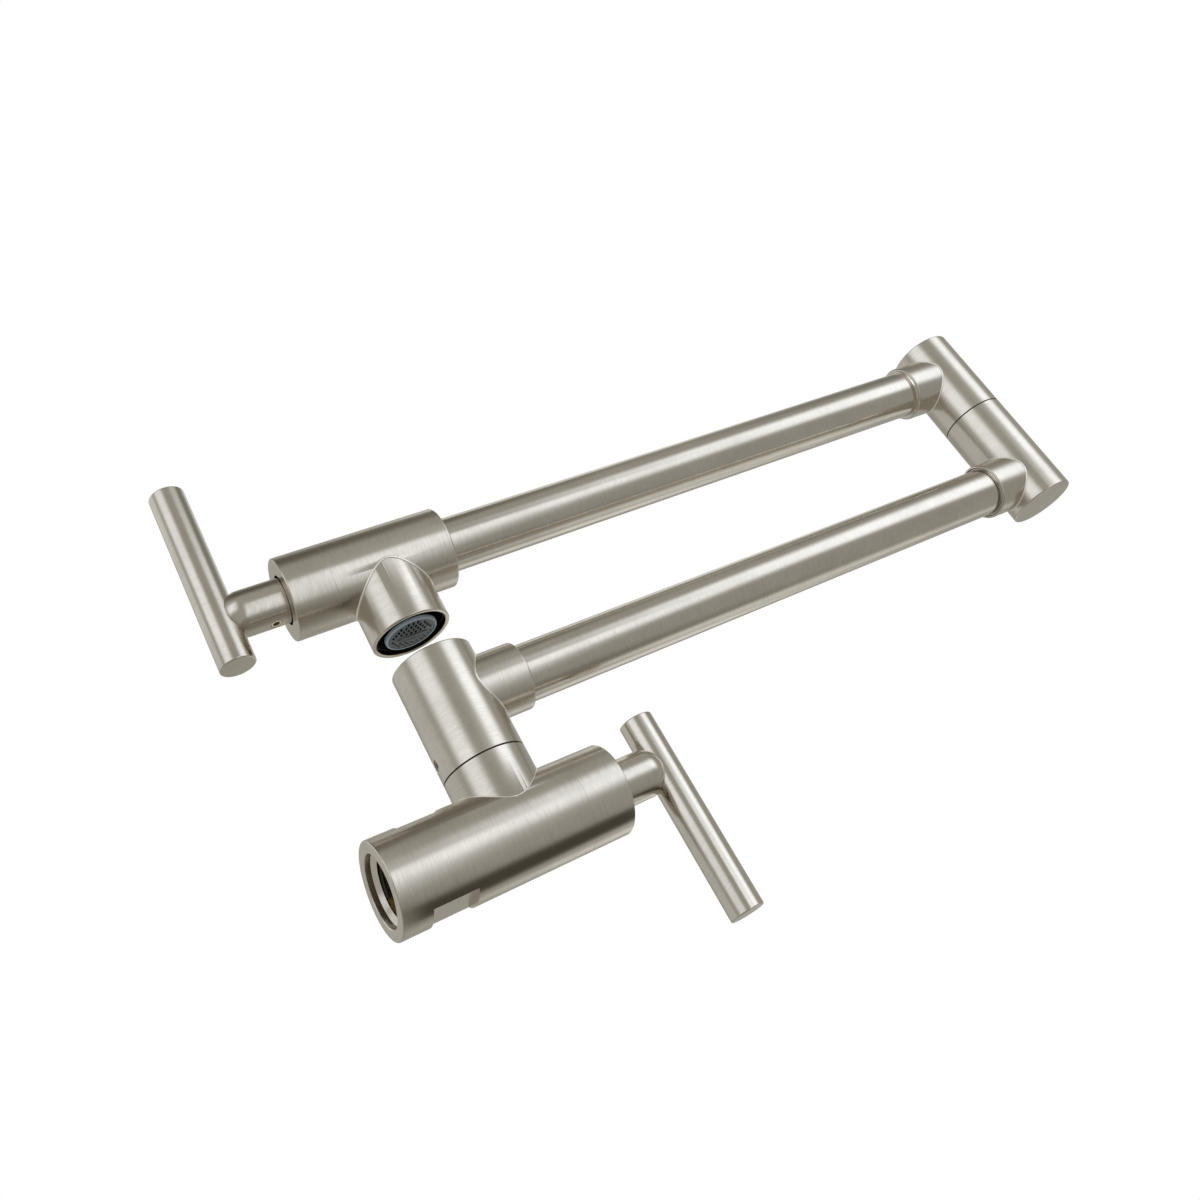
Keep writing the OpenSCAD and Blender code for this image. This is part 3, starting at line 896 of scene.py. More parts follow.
@dataclass
class CreaseBead:
    """The thin polished bead along the crease where one round bar stands on another, coloured near
    white as a painted highlight.

    The second bar runs along its own Z, from the first one's axis, which lies
    along its Y.
    """

    name: str
    body: str
    first_r: float
    second: Matrix
    second_r: float
    width: float = 0.7
    strips: int = 3
    soft_angle: float = 60.0

    def build(self) -> None:
        """Sweeps the bead round the crease."""
        Bench.clear()
        bpy.ops.mesh.primitive_circle_add(vertices=FINE_STEPS, radius=mm(self.second_r))
        piece = bpy.context.object
        piece.name = piece.data.name = self.name + "_crease"
        for point in piece.data.vertices:
            across = point.co.x * 1000
            point.co.z = mm(math.sqrt(max(0.0, self.first_r**2 - across**2)))
        bpy.ops.object.convert(target="CURVE")
        piece.data.bevel_depth = mm(self.width / 2)
        piece.data.bevel_resolution = self.strips
        bpy.ops.object.convert(target="MESH")
        Bench.settle(piece, self.second)
        Bench.take(piece)
        bpy.ops.object.mode_set(mode="EDIT")
        bpy.ops.mesh.select_all(action="SELECT")
        bpy.ops.mesh.normals_make_consistent(inside=False)
        bpy.ops.object.mode_set(mode="OBJECT")
        Bench.smooth(piece, self.soft_angle)
        Bench.dress(piece, HIGHLIT_CREASE.make())
        Bench.hand_over(piece, self.body, "nickel_body")


@dataclass
class StubHole:
    """The inside of a stub: its mouth, the tube's socket and the waterway."""

    tube_d: float = 20.0
    socket_l: float = 9.0
    collar: float = 0.60
    groove_w: float = 0.28
    groove_l: float = 0.6
    sunk: float = 0.15
    mouth_cut: float = 0.3
    lip_cut: float = 0.15
    flare_l: float = 0.2
    water_d: float = 15.0

    @property
    def bore(self) -> float:
        """Radius of the tube's socket."""
        return self.tube_d / 2 + FIT

    def tool(self, place: Matrix, stub_l: float) -> bpy.types.Object:
        """The body to cut out of a stub that runs along local Z.

        Args:
            place: The stub's axis, from the column's axis outwards.
            stub_l: Length of the stub in millimetres.

        Returns:
            The cutting body.
        """
        bore, groove = self.bore, self.bore + self.collar
        lip = groove + self.groove_w
        seat, face = stub_l - self.socket_l, stub_l - self.sunk
        outline = [
            (0, 0), (self.water_d / 2, 0), (self.water_d / 2, seat), (bore, seat),
            (bore, face - self.mouth_cut), (bore + self.mouth_cut, face),
            (groove - self.lip_cut, face), (groove, face - self.lip_cut),
            (groove, face - self.groove_l), (lip, face - self.groove_l),
            (lip, stub_l - self.flare_l), (lip + self.lip_cut, stub_l),
            (lip + self.lip_cut, stub_l + OVER), (0, stub_l + OVER),
        ]
        return Bench.turn("stub_hole", outline, place)

    def in_groove(self, place: Matrix, stub_l: float) -> Test:
        """Finds the faces down in the groove of the mouth, and behind it, where shade is painted.

        Args:
            place: The stub's axis, as for the tool.
            stub_l: Length of the stub in millimetres.

        Returns:
            The test.
        """
        bore, groove = self.bore, self.bore + self.collar
        face = stub_l - self.sunk

        def deep(at: Vector, out: Vector) -> bool:
            """Whether a face is in the groove or in the socket."""
            across, up = radial(at, place)
            in_ring = groove - NEAR / 2 < across < groove + self.groove_w + NEAR / 2
            if in_ring and face - self.groove_l - NEAR < up < face + NEAR:
                return True
            return across < bore + NEAR and 0 < up < face - self.mouth_cut

        return deep

    def on_lip(self, place: Matrix, stub_l: float) -> Test:
        """Finds the faces round the mouth that get the polished finish, lighter as a painted highlight.

        Args:
            place: The stub's axis, as for the tool.
            stub_l: Length of the stub in millimetres.

        Returns:
            The test.
        """
        outer = self.bore + self.collar + self.groove_w + self.lip_cut + NEAR
        foot = stub_l - self.sunk - self.groove_l - NEAR

        def rim(at: Vector, out: Vector) -> bool:
            """Whether a face is on the lips or in the groove between them."""
            across, up = radial(at, place)
            return self.bore + NEAR / 2 < across < outer and up > foot

        return rim


@dataclass
class Column:
    """The round upright that each tee, the elbow and the neck are turned from."""

    diameter: float = 28.0
    stub_d: float = 23.6
    stub_l: float = 25.0
    stub_edge: float = 0.7
    rim_edge: float = 0.5
    seam_edge: float = 0.06

    def bar(
        self, name: str, place: Matrix, length: float, low: float, high: float
    ) -> bpy.types.Object:
        """A round bar along local Z with its two rims rounded.

        Args:
            name: Name of the bar.
            place: Its axis, from its lower end.
            length: Its length in millimetres.
            low: Rounding of the rim at its start.
            high: Rounding of the rim at its end.

        Returns:
            The bar.
        """
        r = self.diameter / 2
        outline = rounded([(0, 0), (r, 0), (r, length), (0, length)], {1: low, 2: high})
        return Bench.turn(name, outline, place)

    def stub(self, place: Matrix) -> bpy.types.Object:
        """The stub along local Z, with a rounded lip.

        Args:
            place: The stub's axis, from the column's axis outwards.

        Returns:
            The stub.
        """
        r = self.stub_d / 2
        outline = rounded([(0, 0), (r, 0), (r, self.stub_l), (0, self.stub_l)], {2: self.stub_edge})
        return Bench.turn("stub", outline, place)


@dataclass
class ScrewHole:
    """A set screw's hole with a small countersink."""

    diameter: float = 4.0
    sink: float = 0.32
    upright: float = 0.3
    slanted: tuple[float, float] = (0.4, 0.9)

    def tool(self, place: Matrix, surface: float) -> bpy.types.Object:
        """The body to cut, along local Z from the axis out past the surface.

        Args:
            place: The hole's axis, from the round body's axis outwards.
            surface: Radius of that round body.

        Returns:
            The cutting body.
        """
        r = self.diameter / 2
        mouth = r + self.sink * 2
        outline = [
            (0, 0), (r, 0), (r, surface - self.sink), (mouth, surface + self.sink),
            (mouth, surface + OVER), (0, surface + OVER),
        ]
        return Bench.turn("screw_hole", outline, place, SCREW_STEPS)

    def finishes(self, place: Matrix, surface: float) -> list[tuple[bpy.types.Material, Test]]:
        """The hole's wall in painted shade and its countersink in a warm painted highlight.

        Args:
            place: The hole's axis, as for the tool.
            surface: Radius of the round body that it goes into.

        Returns:
            Finishes, each with its test.
        """
        r = self.diameter / 2
        axis = place.to_3x3() @ Vector((0, 0, 1))

        def wall(at: Vector, out: Vector) -> bool:
            """Whether a face runs along the hole."""
            across, up = radial(at, place)
            inside = across < r + NEAR and surface / 2 < up < surface
            return inside and abs(out.dot(axis)) < self.upright

        def ring(at: Vector, out: Vector) -> bool:
            """Whether a face slopes into the hole."""
            across, up = radial(at, place)
            inside = across < r + self.sink * 2 and surface / 2 < up < surface + OVER / 2
            return inside and self.slanted[0] < abs(out.dot(axis)) < self.slanted[1]

        return [(SHADED_WELL.make(), wall), (WARM_HIGHLIT_EDGE.make(), ring)]


@dataclass
class ArmTee:
    """A tee that turns on a swivel and holds one end of an arm tube."""

    name: str
    body: str
    place: Matrix
    height: float = 40.0
    arm_at: float = 24.2
    screw_at: float = 6.2
    spigot_d: float = 18.0
    spigot_play: float = 0.05
    roof: float = 6.0
    column: Column = field(default_factory=Column)
    hole: StubHole = field(default_factory=StubHole)
    screw_hole: ScrewHole = field(default_factory=ScrewHole)

    def build(self) -> None:
        """Models and dresses the tee."""
        column = self.column
        stub_place = tipped(shifted(self.place, z=self.arm_at), 90, "X")
        piece = column.bar(
            self.name + "_dressed", self.place, self.height, column.seam_edge, column.rim_edge
        )
        Bench.join(piece, column.stub(stub_place))
        bore = self.spigot_d / 2 + self.spigot_play
        ceiling = self.height - self.roof
        well = [(0, -OVER), (bore, -OVER), (bore, ceiling), (0, ceiling)]
        screw_place = tipped(shifted(self.place, z=self.screw_at), -90, "X")
        Bench.cut(
            piece,
            Bench.turn("well", well, self.place),
            self.hole.tool(stub_place, column.stub_l),
            self.screw_hole.tool(screw_place, column.diameter / 2),
        )
        Bench.smooth(piece)
        upright = BrushedNickel(self.name + "_upright_nickel", self.place).make()
        along = BrushedNickel(self.name + "_stub_nickel", stub_place).make()
        limit = column.diameter / 2 + NEAR
        # The mouth's lips get a painted highlight, its groove and socket painted shade, the screw hole
        # both.
        Bench.dress(
            piece,
            upright,
            [
                (along, lambda at, out: radial(at, self.place)[0] > limit),
                (polished_highlit_edge(), self.hole.on_lip(stub_place, column.stub_l)),
                (SHADED_BORE.make(), self.hole.in_groove(stub_place, column.stub_l)),
                *self.screw_hole.finishes(screw_place, column.diameter / 2),
            ],
        )
        Bench.hand_over(piece, self.body, "nickel_body", self.name)
        CreaseBead(
            self.name, self.body, column.diameter / 2, stub_place, column.stub_d / 2
        ).build()


@dataclass
class ElbowFoot:
    """The lower half of the elbow, on the end of the lower arm."""

    place: Matrix
    foot_z: float
    arm_z: float
    top_z: float
    plug_d: float = 16.0
    plug_l: float = 9.0
    water_d: float = 12.0
    column: Column = field(default_factory=Column)
    hole: StubHole = field(default_factory=StubHole)

    def build(self) -> None:
        """Models and dresses the elbow's lower body."""
        column = self.column
        foot = shifted(self.place, z=self.foot_z)
        stub_place = tipped(shifted(self.place, z=self.arm_z), -90, "X")
        piece = column.bar(
            "elbow_lower_dressed", foot, self.top_z - self.foot_z, column.rim_edge, column.seam_edge
        )
        Bench.join(piece, column.stub(stub_place))
        top = self.top_z - self.arm_z
        well = [
            (0, 0), (self.water_d / 2, 0), (self.water_d / 2, top - self.plug_l),
            (self.plug_d / 2, top - self.plug_l), (self.plug_d / 2, top + OVER), (0, top + OVER),
        ]
        Bench.cut(
            piece,
            Bench.turn("well", well, shifted(self.place, z=self.arm_z)),
            self.hole.tool(stub_place, column.stub_l),
        )
        Bench.smooth(piece)
        upright = BrushedNickel("elbow_foot_nickel", foot).make()
        along = BrushedNickel("elbow_stub_nickel", stub_place).make()
        limit = column.diameter / 2 + NEAR
        # The mouth's lips get a painted highlight, its groove and socket painted shade.
        Bench.dress(
            piece,
            upright,
            [
                (along, lambda at, out: radial(at, foot)[0] > limit),
                (polished_highlit_edge(), self.hole.on_lip(stub_place, column.stub_l)),
                (SHADED_BORE.make(), self.hole.in_groove(stub_place, column.stub_l)),
            ],
        )
        Bench.hand_over(piece, "lower_arm", "nickel_body", "elbow_lower_body")
        CreaseBead(
            "elbow_lower_body", "lower_arm", column.diameter / 2, stub_place, column.stub_d / 2
        ).build()


@dataclass
class ArmTube:
    """A drawn tube between two stubs."""

    name: str
    body: str
    place: Matrix
    start: float
    end: float
    diameter: float = 20.0
    wall: float = 1.5
    edge: float = 0.2

    def build(self) -> None:
        """Models and dresses the tube."""
        r = self.diameter / 2
        inner = r - self.wall
        outline = rounded(
            [
                (inner, self.start), (r, self.start), (r, self.end), (inner, self.end),
                (inner, self.start),
            ],
            {1: self.edge, 2: self.edge},
        )
        along = tipped(self.place, 90, "X")
        piece = Bench.smooth(Bench.turn(self.name + "_dressed", stepped(outline), along))
        Bench.dress(piece, BrushedNickel(self.name + "_nickel", along, Satin.TUBE).make())
        Bench.hand_over(piece, self.body, "nickel_tube", self.name)


@dataclass
class ValveCore:
    """The hollow that takes a valve's cartridge, measured from the branch."""

    seam_w: float = 19.0
    flange_w: float = 9.5
    seat_w: float = -13.5
    flange_d: float = 24.0
    chamber_d: float = 21.0
    water_d: float = 12.0
    bonnet_l: float = 15.0
    nose_l: float = 6.0
    hole_d: float = 17.2

    def outline(self, way_l: float) -> list[tuple[float, float]]:
        """Outline of the hollow, from the way in to past the seam.

        Args:
            way_l: Length of the narrow way in front of the seat.

        Returns:
            The outline, from the axis to the axis.
        """
        return [
            (0, self.seat_w - way_l), (self.water_d / 2, self.seat_w - way_l),
            (self.water_d / 2, self.seat_w), (self.chamber_d / 2, self.seat_w),
            (self.chamber_d / 2, self.flange_w), (self.flange_d / 2, self.flange_w),
            (self.flange_d / 2, self.seam_w + OVER), (0, self.seam_w + OVER),
        ]


@dataclass
class Bonnet:
    """The ring that screws on the handle end of a valve."""

    name: str
    body: str
    place: Matrix
    diameter: float
    seam: float = 0.06
    rim: float = 0.5
    relief: float = 0.22
    relief_l: float = 3.0
    hole_edge: float = 0.2
    core: ValveCore = field(default_factory=ValveCore)

    def build(self) -> None:
        """Models and dresses the bonnet."""
        core = self.core
        r = self.diameter / 2
        hole, wide = core.hole_d / 2, core.hole_d / 2 + self.relief
        nose = core.flange_d / 2 - FIT
        start, end = core.seam_w - core.nose_l, core.seam_w + core.bonnet_l
        outline = rounded(
            [
                (hole, start), (nose, start), (nose, core.seam_w), (r, core.seam_w), (r, end),
                (wide, end), (wide, end - self.relief_l), (hole, end - self.relief_l), (hole, start),
            ],
            {3: self.seam, 4: self.rim, 5: self.hole_edge},
        )
        piece = Bench.smooth(Bench.turn(self.name + "_dressed", outline, self.place))
        # The bore round the handle's hub is painted in shade.
        Bench.dress(
            piece,
            BrushedNickel(self.name + "_nickel", self.place, Satin.BONNET).make(),
            [(SHADED_WELL.make(), lambda at, out: radial(at, self.place)[0] < wide + 0.01)],
        )
        Bench.hand_over(piece, self.body, "nickel_body", self.name)


@dataclass
class InletThread:
    """The half inch pipe thread inside the inlet: a true helical ridge."""

    place: Matrix
    root_d: float = 20.9
    crest_d: float = 18.6
    pitch: float = 1.814
    turns: int = 7
    crest_w: float = 0.30
    root_w: float = 1.74
    start: float = 4.3
    bright_from: float = 5.8

    def build(self) -> None:
        """Models and dresses the thread."""
        Bench.clear()
        bpy.ops.mesh.primitive_plane_add(size=mm(1), location=(0, 0, 0))
        piece = bpy.context.object
        piece.name = piece.data.name = "inlet_thread"
        bpy.ops.object.mode_set(mode="EDIT")
        bpy.ops.mesh.select_mode(type="VERT")
        shape = bmesh.from_edit_mesh(piece.data)
        for corner in shape.verts:
            at_root = corner.co.x > 0
            diameter, width = (
                (self.root_d, self.root_w) if at_root else (self.crest_d, self.crest_w)
            )
            side = 1 if corner.co.y > 0 else -1
            corner.co = (mm(diameter) / 2, 0, mm(side * width / 2))
        bmesh.update_edit_mesh(piece.data)
        bpy.ops.mesh.select_all(action="SELECT")
        bpy.ops.mesh.delete(type="ONLY_FACE")
        bpy.ops.object.mode_set(mode="OBJECT")
        bpy.ops.object.modifier_add(type="SCREW")
        helix = piece.modifiers[-1]
        helix.axis = "Z"
        helix.angle = math.tau
        helix.iterations = self.turns
        helix.screw_offset = mm(self.pitch)
        helix.steps = helix.render_steps = SMALL_STEPS
        bpy.ops.object.modifier_apply(modifier=helix.name)
        bpy.ops.object.mode_set(mode="EDIT")
        bpy.ops.mesh.select_all(action="SELECT")
        bpy.ops.mesh.remove_doubles(threshold=mm(WELD))
        bpy.ops.mesh.select_mode(type="EDGE")
        bpy.ops.mesh.select_all(action="DESELECT")
        bpy.ops.mesh.select_non_manifold()
        bpy.ops.mesh.edge_face_add()
        bpy.ops.mesh.select_all(action="SELECT")
        bpy.ops.mesh.normals_make_consistent(inside=False)
        bpy.ops.object.mode_set(mode="OBJECT")
        Bench.settle(piece, shifted(self.place, z=self.start))
        Bench.smooth(piece)
        # The thread near the mouth is painted in shade; deeper in it is bare brass.
        Bench.dress(
            piece,
            SHADED_BORE.make(),
            [(BRASS.make(), lambda at, out: radial(at, self.place)[1] > self.bright_from)],
        )
        Bench.hand_over(piece, "wall_valve", "raw_brass")


@dataclass
class WallValve:
    """The valve body on the wall, with its inlet, spanner flats and neck."""

    layout: Layout
    diameter: float = 30.5
    recess_d: float = 22.5
    recess_l: float = 2.7
    thread_l: float = 15.0
    flats_across: float = 26.0
    flats_at: float = 9.5
    flats_l: float = 14.5
    plug_d: float = 16.0
    plug_l: float = 9.0
    hairline: float = 0.06
    core: ValveCore = field(default_factory=ValveCore)
    column: Column = field(default_factory=Column)
    thread_root_d: float = 20.8
    plated_l: float = 5.8
    mouth_cut: float = 0.25
    lead_in: float = 1.4
    run_in: float = 0.5
    neck_foot: float = 0.1
    crease_w: float = 0.4

    def build(self) -> None:
        """Models and dresses the valve body."""
        layout, core, column = self.layout, self.core, self.column
        valve, neck = layout.valve(), layout.neck()
        r = self.diameter / 2
        seam = layout.neck_at + core.seam_w
        outline = rounded(
            [(0, 0), (r, 0), (r, seam), (0, seam)], {1: column.rim_edge, 2: self.hairline}
        )
        piece = Bench.turn("wall_valve_dressed", outline, valve)
        Bench.join(
            piece, column.bar("neck", neck, layout.neck_l, self.neck_foot, column.seam_edge)
        )
        recess, water, root = self.recess_d / 2, core.water_d / 2, self.thread_root_d / 2
        cone_from, cone_to = self.recess_l - self.lead_in / 2, self.recess_l + self.lead_in / 2
        inlet_end = self.recess_l + self.thread_l
        hollow = [
            (0, -OVER), (recess + self.mouth_cut, -OVER), (recess + self.mouth_cut, 0),
            (recess, self.mouth_cut), (recess, cone_from), (recess - self.lead_in, cone_to),
            (root, cone_to + self.run_in), (root, inlet_end), (water, inlet_end),
            *[(radius, height + layout.neck_at) for radius, height in core.outline(2)[2:]],
        ]
        plug, plug_foot = self.plug_d / 2, layout.neck_l - self.plug_l
        well = [
            (0, 0), (water, 0), (water, plug_foot), (plug, plug_foot),
            (plug, layout.neck_l + OVER), (0, layout.neck_l + OVER),
        ]
        Bench.cut(piece, Bench.turn("hollow", hollow, valve), Bench.turn("well", well, neck))
        away = (self.flats_across + self.diameter) / 2
        for side in (-1, 1):
            middle = shifted(valve, y=side * away, z=self.flats_at + self.flats_l / 2)
            size = (self.diameter * 2, self.diameter, self.flats_l)
            Bench.cut(piece, Bench.block("flat", size, middle))
        Bench.smooth(piece)
        along = BrushedNickel("wall_valve_nickel", valve).make()
        upright = BrushedNickel("neck_nickel", neck).make()

        def in_bore(at: Vector, out: Vector) -> bool:
            """Whether a face is deeper in the inlet than its cone, where shade is painted."""
            across, deep = radial(at, valve)
            return across < recess + self.mouth_cut + NEAR and cone_to < deep < seam - NEAR

        def on_inlet_edge(at: Vector, out: Vector) -> bool:
            """Whether a face is on the mouth's chamfer or on the cone."""
            across, deep = radial(at, valve)
            if recess < across < recess + self.mouth_cut + NEAR and WELD < deep < self.mouth_cut:
                return True
            return across < recess - NEAR and cone_from < deep < cone_to

        def plated_off(at: Vector, out: Vector) -> bool:
            """Whether a face is so deep in the inlet that it is bare brass."""
            return in_bore(at, out) and radial(at, valve)[1] > self.plated_l

        # The inlet's chamfer and cone get a painted highlight, its bore painted shade, and deep in it
        # bare brass.
        Bench.dress(
            piece,
            along,
            [
                (upright, lambda at, out: at.z > 0 and radial(at, valve)[0] > r + NEAR),
                (polished_highlit_edge(), on_inlet_edge),
                (SHADED_BORE.make(), in_bore),
                (BRASS.make(), plated_off),
            ],
        )
        Bench.hand_over(piece, "wall_valve", "nickel_body", "wall_valve_body")
        CreaseBead(
            "wall_valve_body", "wall_valve", r, neck, column.diameter / 2, self.crease_w
        ).build()


@dataclass
class Outlet:
    """The outlet valve's body with the spout."""

    layout: Layout
    diameter: float = 29.5
    front_l: float = 24.0
    socket_l: float = 6.0
    tube_d: float = 20.0
    spout_d: float = 28.0
    spout_l: float = 28.4
    mouth_d: float = 25.2
    mouth_l: float = 6.5
    aerator_d: float = 22.0
    aerator_l: float = 12.2
    hairline: float = 0.06
    mouth_cut: float = 0.3
    spout_foot: float = 0.1
    ridges_at: float = 1.2
    ridge_count: int = 3
    ridge_step: float = 1.3
    ridge_h: float = 0.22
    ridge_flank: float = 0.1
    ridge_crest: float = 0.15
    crease_w: float = 0.9
    core: ValveCore = field(default_factory=ValveCore)
    column: Column = field(default_factory=Column)

    def ridges(self, mouth: float, start: float) -> list[tuple[float, float]]:
        """Outline of the fine turned ridges left inside the spout's mouth.

        Args:
            mouth: Radius of the mouth.
            start: How far down the spout the first ridge is.

        Returns:
            The ridges' points.
        """
        out = []
        top, flank = mouth - self.ridge_h, self.ridge_flank
        for turn in range(self.ridge_count):
            at = start + turn * self.ridge_step
            end = at + flank + self.ridge_crest
            out += [(mouth, at), (top, at + flank), (top, end), (mouth, end + flank)]
        return out

    def build(self) -> None:
        """Models and dresses the outlet body."""
        layout, core, column = self.layout, self.core, self.column
        valve, spout = layout.outlet_core(), layout.spout()
        r = self.diameter / 2
        outline = rounded(
            [(0, -self.front_l), (r, -self.front_l), (r, core.seam_w), (0, core.seam_w)],
            {1: column.rim_edge, 2: self.hairline},
        )
        piece = Bench.turn("outlet_dressed", outline, valve)
        Bench.join(piece, column.bar("spout", spout, self.spout_l, self.spout_foot, column.rim_edge))
        bore, water, cut = self.tube_d / 2 + FIT, core.water_d / 2, self.mouth_cut
        front, seat, end = -self.front_l, self.socket_l - self.front_l, self.spout_l
        hollow = [
            (0, front - OVER), (bore + cut, front - OVER), (bore + cut, front),
            (bore, front + cut), (bore, seat), (water, seat), *core.outline(2)[2:],
        ]
        top, neck = end - self.aerator_l, end - self.mouth_l
        mouth, cup = self.mouth_d / 2, self.aerator_d / 2
        nozzle = [
            (0, 0), (water, 0), (water, top), (cup, top), (cup, neck), (mouth, neck),
            *self.ridges(mouth, neck + self.ridges_at), (mouth, end - cut), (mouth + cut, end),
            (mouth + cut, end + OVER), (0, end + OVER),
        ]
        Bench.cut(piece, Bench.turn("hollow", hollow, valve), Bench.turn("nozzle", nozzle, spout))
        Bench.smooth(piece)
        along = BrushedNickel("outlet_nickel", valve).make()
        down = BrushedNickel("spout_nickel", spout).make()

        def in_mouth(at: Vector, out: Vector) -> bool:
            """Whether a face is inside the mouth."""
            across, low = radial(at, spout)
            return across < mouth + NEAR / 2 and top - OVER < low < end - cut + WELD

        def on_mouth_edge(at: Vector, out: Vector) -> bool:
            """Whether a face is on the mouth's chamfer."""
            across, low = radial(at, spout)
            return mouth < across < mouth + cut and end - cut + WELD < low < end - WELD

        # The mouth's inside is painted in shade, its chamfer a warm painted highlight.
        Bench.dress(
            piece,
            along,
            [
                (down, lambda at, out: radial(at, spout)[1] > 0 and radial(at, valve)[0] > r + NEAR),
                (SHADED_WELL.make(), in_mouth),
                (WARM_HIGHLIT_EDGE.make(), on_mouth_edge),
            ],
        )
        Bench.hand_over(piece, "upper_arm", "nickel_body", "outlet_body")
        CreaseBead(
            "outlet_body", "upper_arm", r, spout, self.spout_d / 2, self.crease_w
        ).build()


@dataclass
class Aerator:
    """The aerator in the spout: a cup with a rounded lip, and a domed screen of
    diamond holes with a slit bar across it."""

    spout: Matrix
    ring_d: float = 18.7
    cup_d: float = 21.92
    bore_d: float = 16.9
    lip_edge: float = 0.6
    bore_edge: float = 0.2
    cup_top: float = 17.6
    neck: float = 21.9
    mouth: float = 28.4
    lit_from: float = 27.1
    screen_d: float = 17.0
    screen_z: float = 27.95
    screen_t: float = 0.14
    sag: float = 1.3
    hole_w: float = 1.7
    hole_l: float = 2.8
    rib: float = 0.24
    margin: float = 0.9
    cells: int = 22
    bar_plate: float = 14.0
    bar_cells: int = 28
    bar_l: float = 12.4
    bar_w: float = 3.3
    bar_lift: float = 0.5
    slit_l: float = 11.4
    slit_w: float = 1.1
    arm_way: tuple[float, float, float] = (0.0872, 0.9962, 0.0)

    def face(self) -> Matrix:
        """The screen's own place.

        Returns:
            The place, with X along the bar and Z down out of the spout.
        """
        down = (self.spout.to_3x3() @ Vector((0, 0, 1))).normalized()
        along = Vector(self.arm_way).normalized()
        place = Matrix((along, down.cross(along), down)).transposed().to_4x4()
        place.translation = self.spout.to_translation()
        return shifted(place, z=self.screen_z)

    def ring(self) -> None:
        """Makes the cup that screws into the spout, with its rounded lip, and paints shade on its inner
        wall.
        """
        cup, ring, bore = (d / 2 for d in (self.cup_d, self.ring_d, self.bore_d))
        outline = rounded(
            [
                (bore, self.cup_top), (cup, self.cup_top), (cup, self.neck), (ring, self.neck),
                (ring, self.lit_from), (ring, self.mouth), (bore, self.mouth), (bore, self.cup_top),
            ],
            {5: self.lip_edge, 6: self.bore_edge},
        )
        piece = Bench.smooth(Bench.turn("aerator_ring_dressed", outline, self.spout))
        # The cup's wall deeper than lit_from is painted in shade.
        Bench.dress(
            piece,
            AERATOR.make(),
            [(INSERT_AND_SHADE.make(), lambda at, out: radial(at, self.spout)[1] < self.lit_from)],
        )
        Bench.hand_over(piece, "upper_arm", "aerator_plastic", "aerator_housing")

    def plate(self, name: str, cells: int, size: float) -> bpy.types.Object:
        """A square plate in a grid of cells, lying on local Z = 0.

        Args:
            name: Name of the plate.
            cells: Cells along each side.
            size: Length of its sides in millimetres.

        Returns:
            The plate, its thickness still in a modifier.
        """
        Bench.clear()
        bpy.ops.mesh.primitive_grid_add(x_subdivisions=cells, y_subdivisions=cells, size=mm(size))
        piece = bpy.context.object
        piece.name = piece.data.name = name
        bpy.ops.object.modifier_add(type="SOLIDIFY")
        thick = piece.modifiers[-1]
        thick.thickness = mm(self.screen_t)
        thick.offset = 1.0
        return piece

    def swell(self, piece: bpy.types.Object, lift: float = 0.0) -> None:
        """Bulges a flat piece into the screen's dome.

        Args:
            piece: The piece, lying flat about its own origin.
            lift: How far it stands out of the screen.
        """
        for point in piece.data.vertices:
            out = math.hypot(point.co.x, point.co.y) / mm(self.screen_d / 2)
            point.co.z += mm(self.sag * max(0.0, 1 - out * out) + lift)

    @staticmethod
    def disc(radius: float, y: float) -> bpy.types.Object:
        """A thick disc that cuts a curved edge.

        Args:
            radius: Its radius in millimetres.
            y: Its middle along local Y.

        Returns:
            The disc.
        """
        reach = 2 * OVER
        outline = [(0, -reach), (radius, -reach), (radius, reach), (0, reach)]
        return Bench.turn("disc", outline, shifted(Matrix.Identity(4), y=y), FINE_STEPS)

    def lens(self, length: float, width: float) -> bpy.types.Object:
        """A thick sliver, pointed at both ends, along local X.

        Args:
            length: From point to point, in millimetres.
            width: Its width in the middle.

        Returns:
            The sliver.
        """
        radius = (length * length + width * width) / (4 * width)
        offset = radius - width / 2
        return Bench.combine(self.disc(radius, offset), self.disc(radius, -offset), "INTERSECT")

    def screen(self) -> None:
        """Makes the domed screen with its diamond holes."""
        piece = self.plate("aerator_screen_dressed", self.cells, float(self.cells))
        bpy.ops.object.mode_set(mode="EDIT")
        bpy.ops.mesh.select_mode(type="FACE")
        bpy.ops.mesh.select_all(action="SELECT")
        bpy.ops.transform.rotate(value=math.pi / 4, orient_axis="Z", center_override=(0, 0, 0))
        stretch = (self.hole_w / math.sqrt(2), self.hole_l / math.sqrt(2), 1)
        bpy.ops.transform.resize(value=stretch, center_override=(0, 0, 0))
        bpy.ops.mesh.inset(thickness=mm(self.rib), use_individual=True)
        shape = bmesh.from_edit_mesh(piece.data)
        for cell in shape.faces:
            spot = cell.calc_center_median() * 1000
            under_bar = abs(spot.y) < self.bar_w / 2 and abs(spot.x) < self.bar_l / 2
            if math.hypot(spot.x, spot.y) > self.screen_d / 2 - self.margin or under_bar:
                cell.select_set(False)
        bmesh.update_edit_mesh(piece.data)
        bpy.ops.mesh.delete(type="FACE")
        bpy.ops.object.mode_set(mode="OBJECT")
        bpy.ops.object.modifier_apply(modifier=piece.modifiers[-1].name)
        Bench.combine(piece, self.disc(self.screen_d / 2, 0), "INTERSECT")
        Bench.cut(piece, self.lens(self.slit_l, self.slit_w))
        self.swell(piece)
        Bench.settle(piece, self.face())
        Bench.smooth(piece)
        Bench.dress(piece, MESH.make())
        Bench.hand_over(piece, "upper_arm", "aerator_mesh_steel", "aerator_mesh")

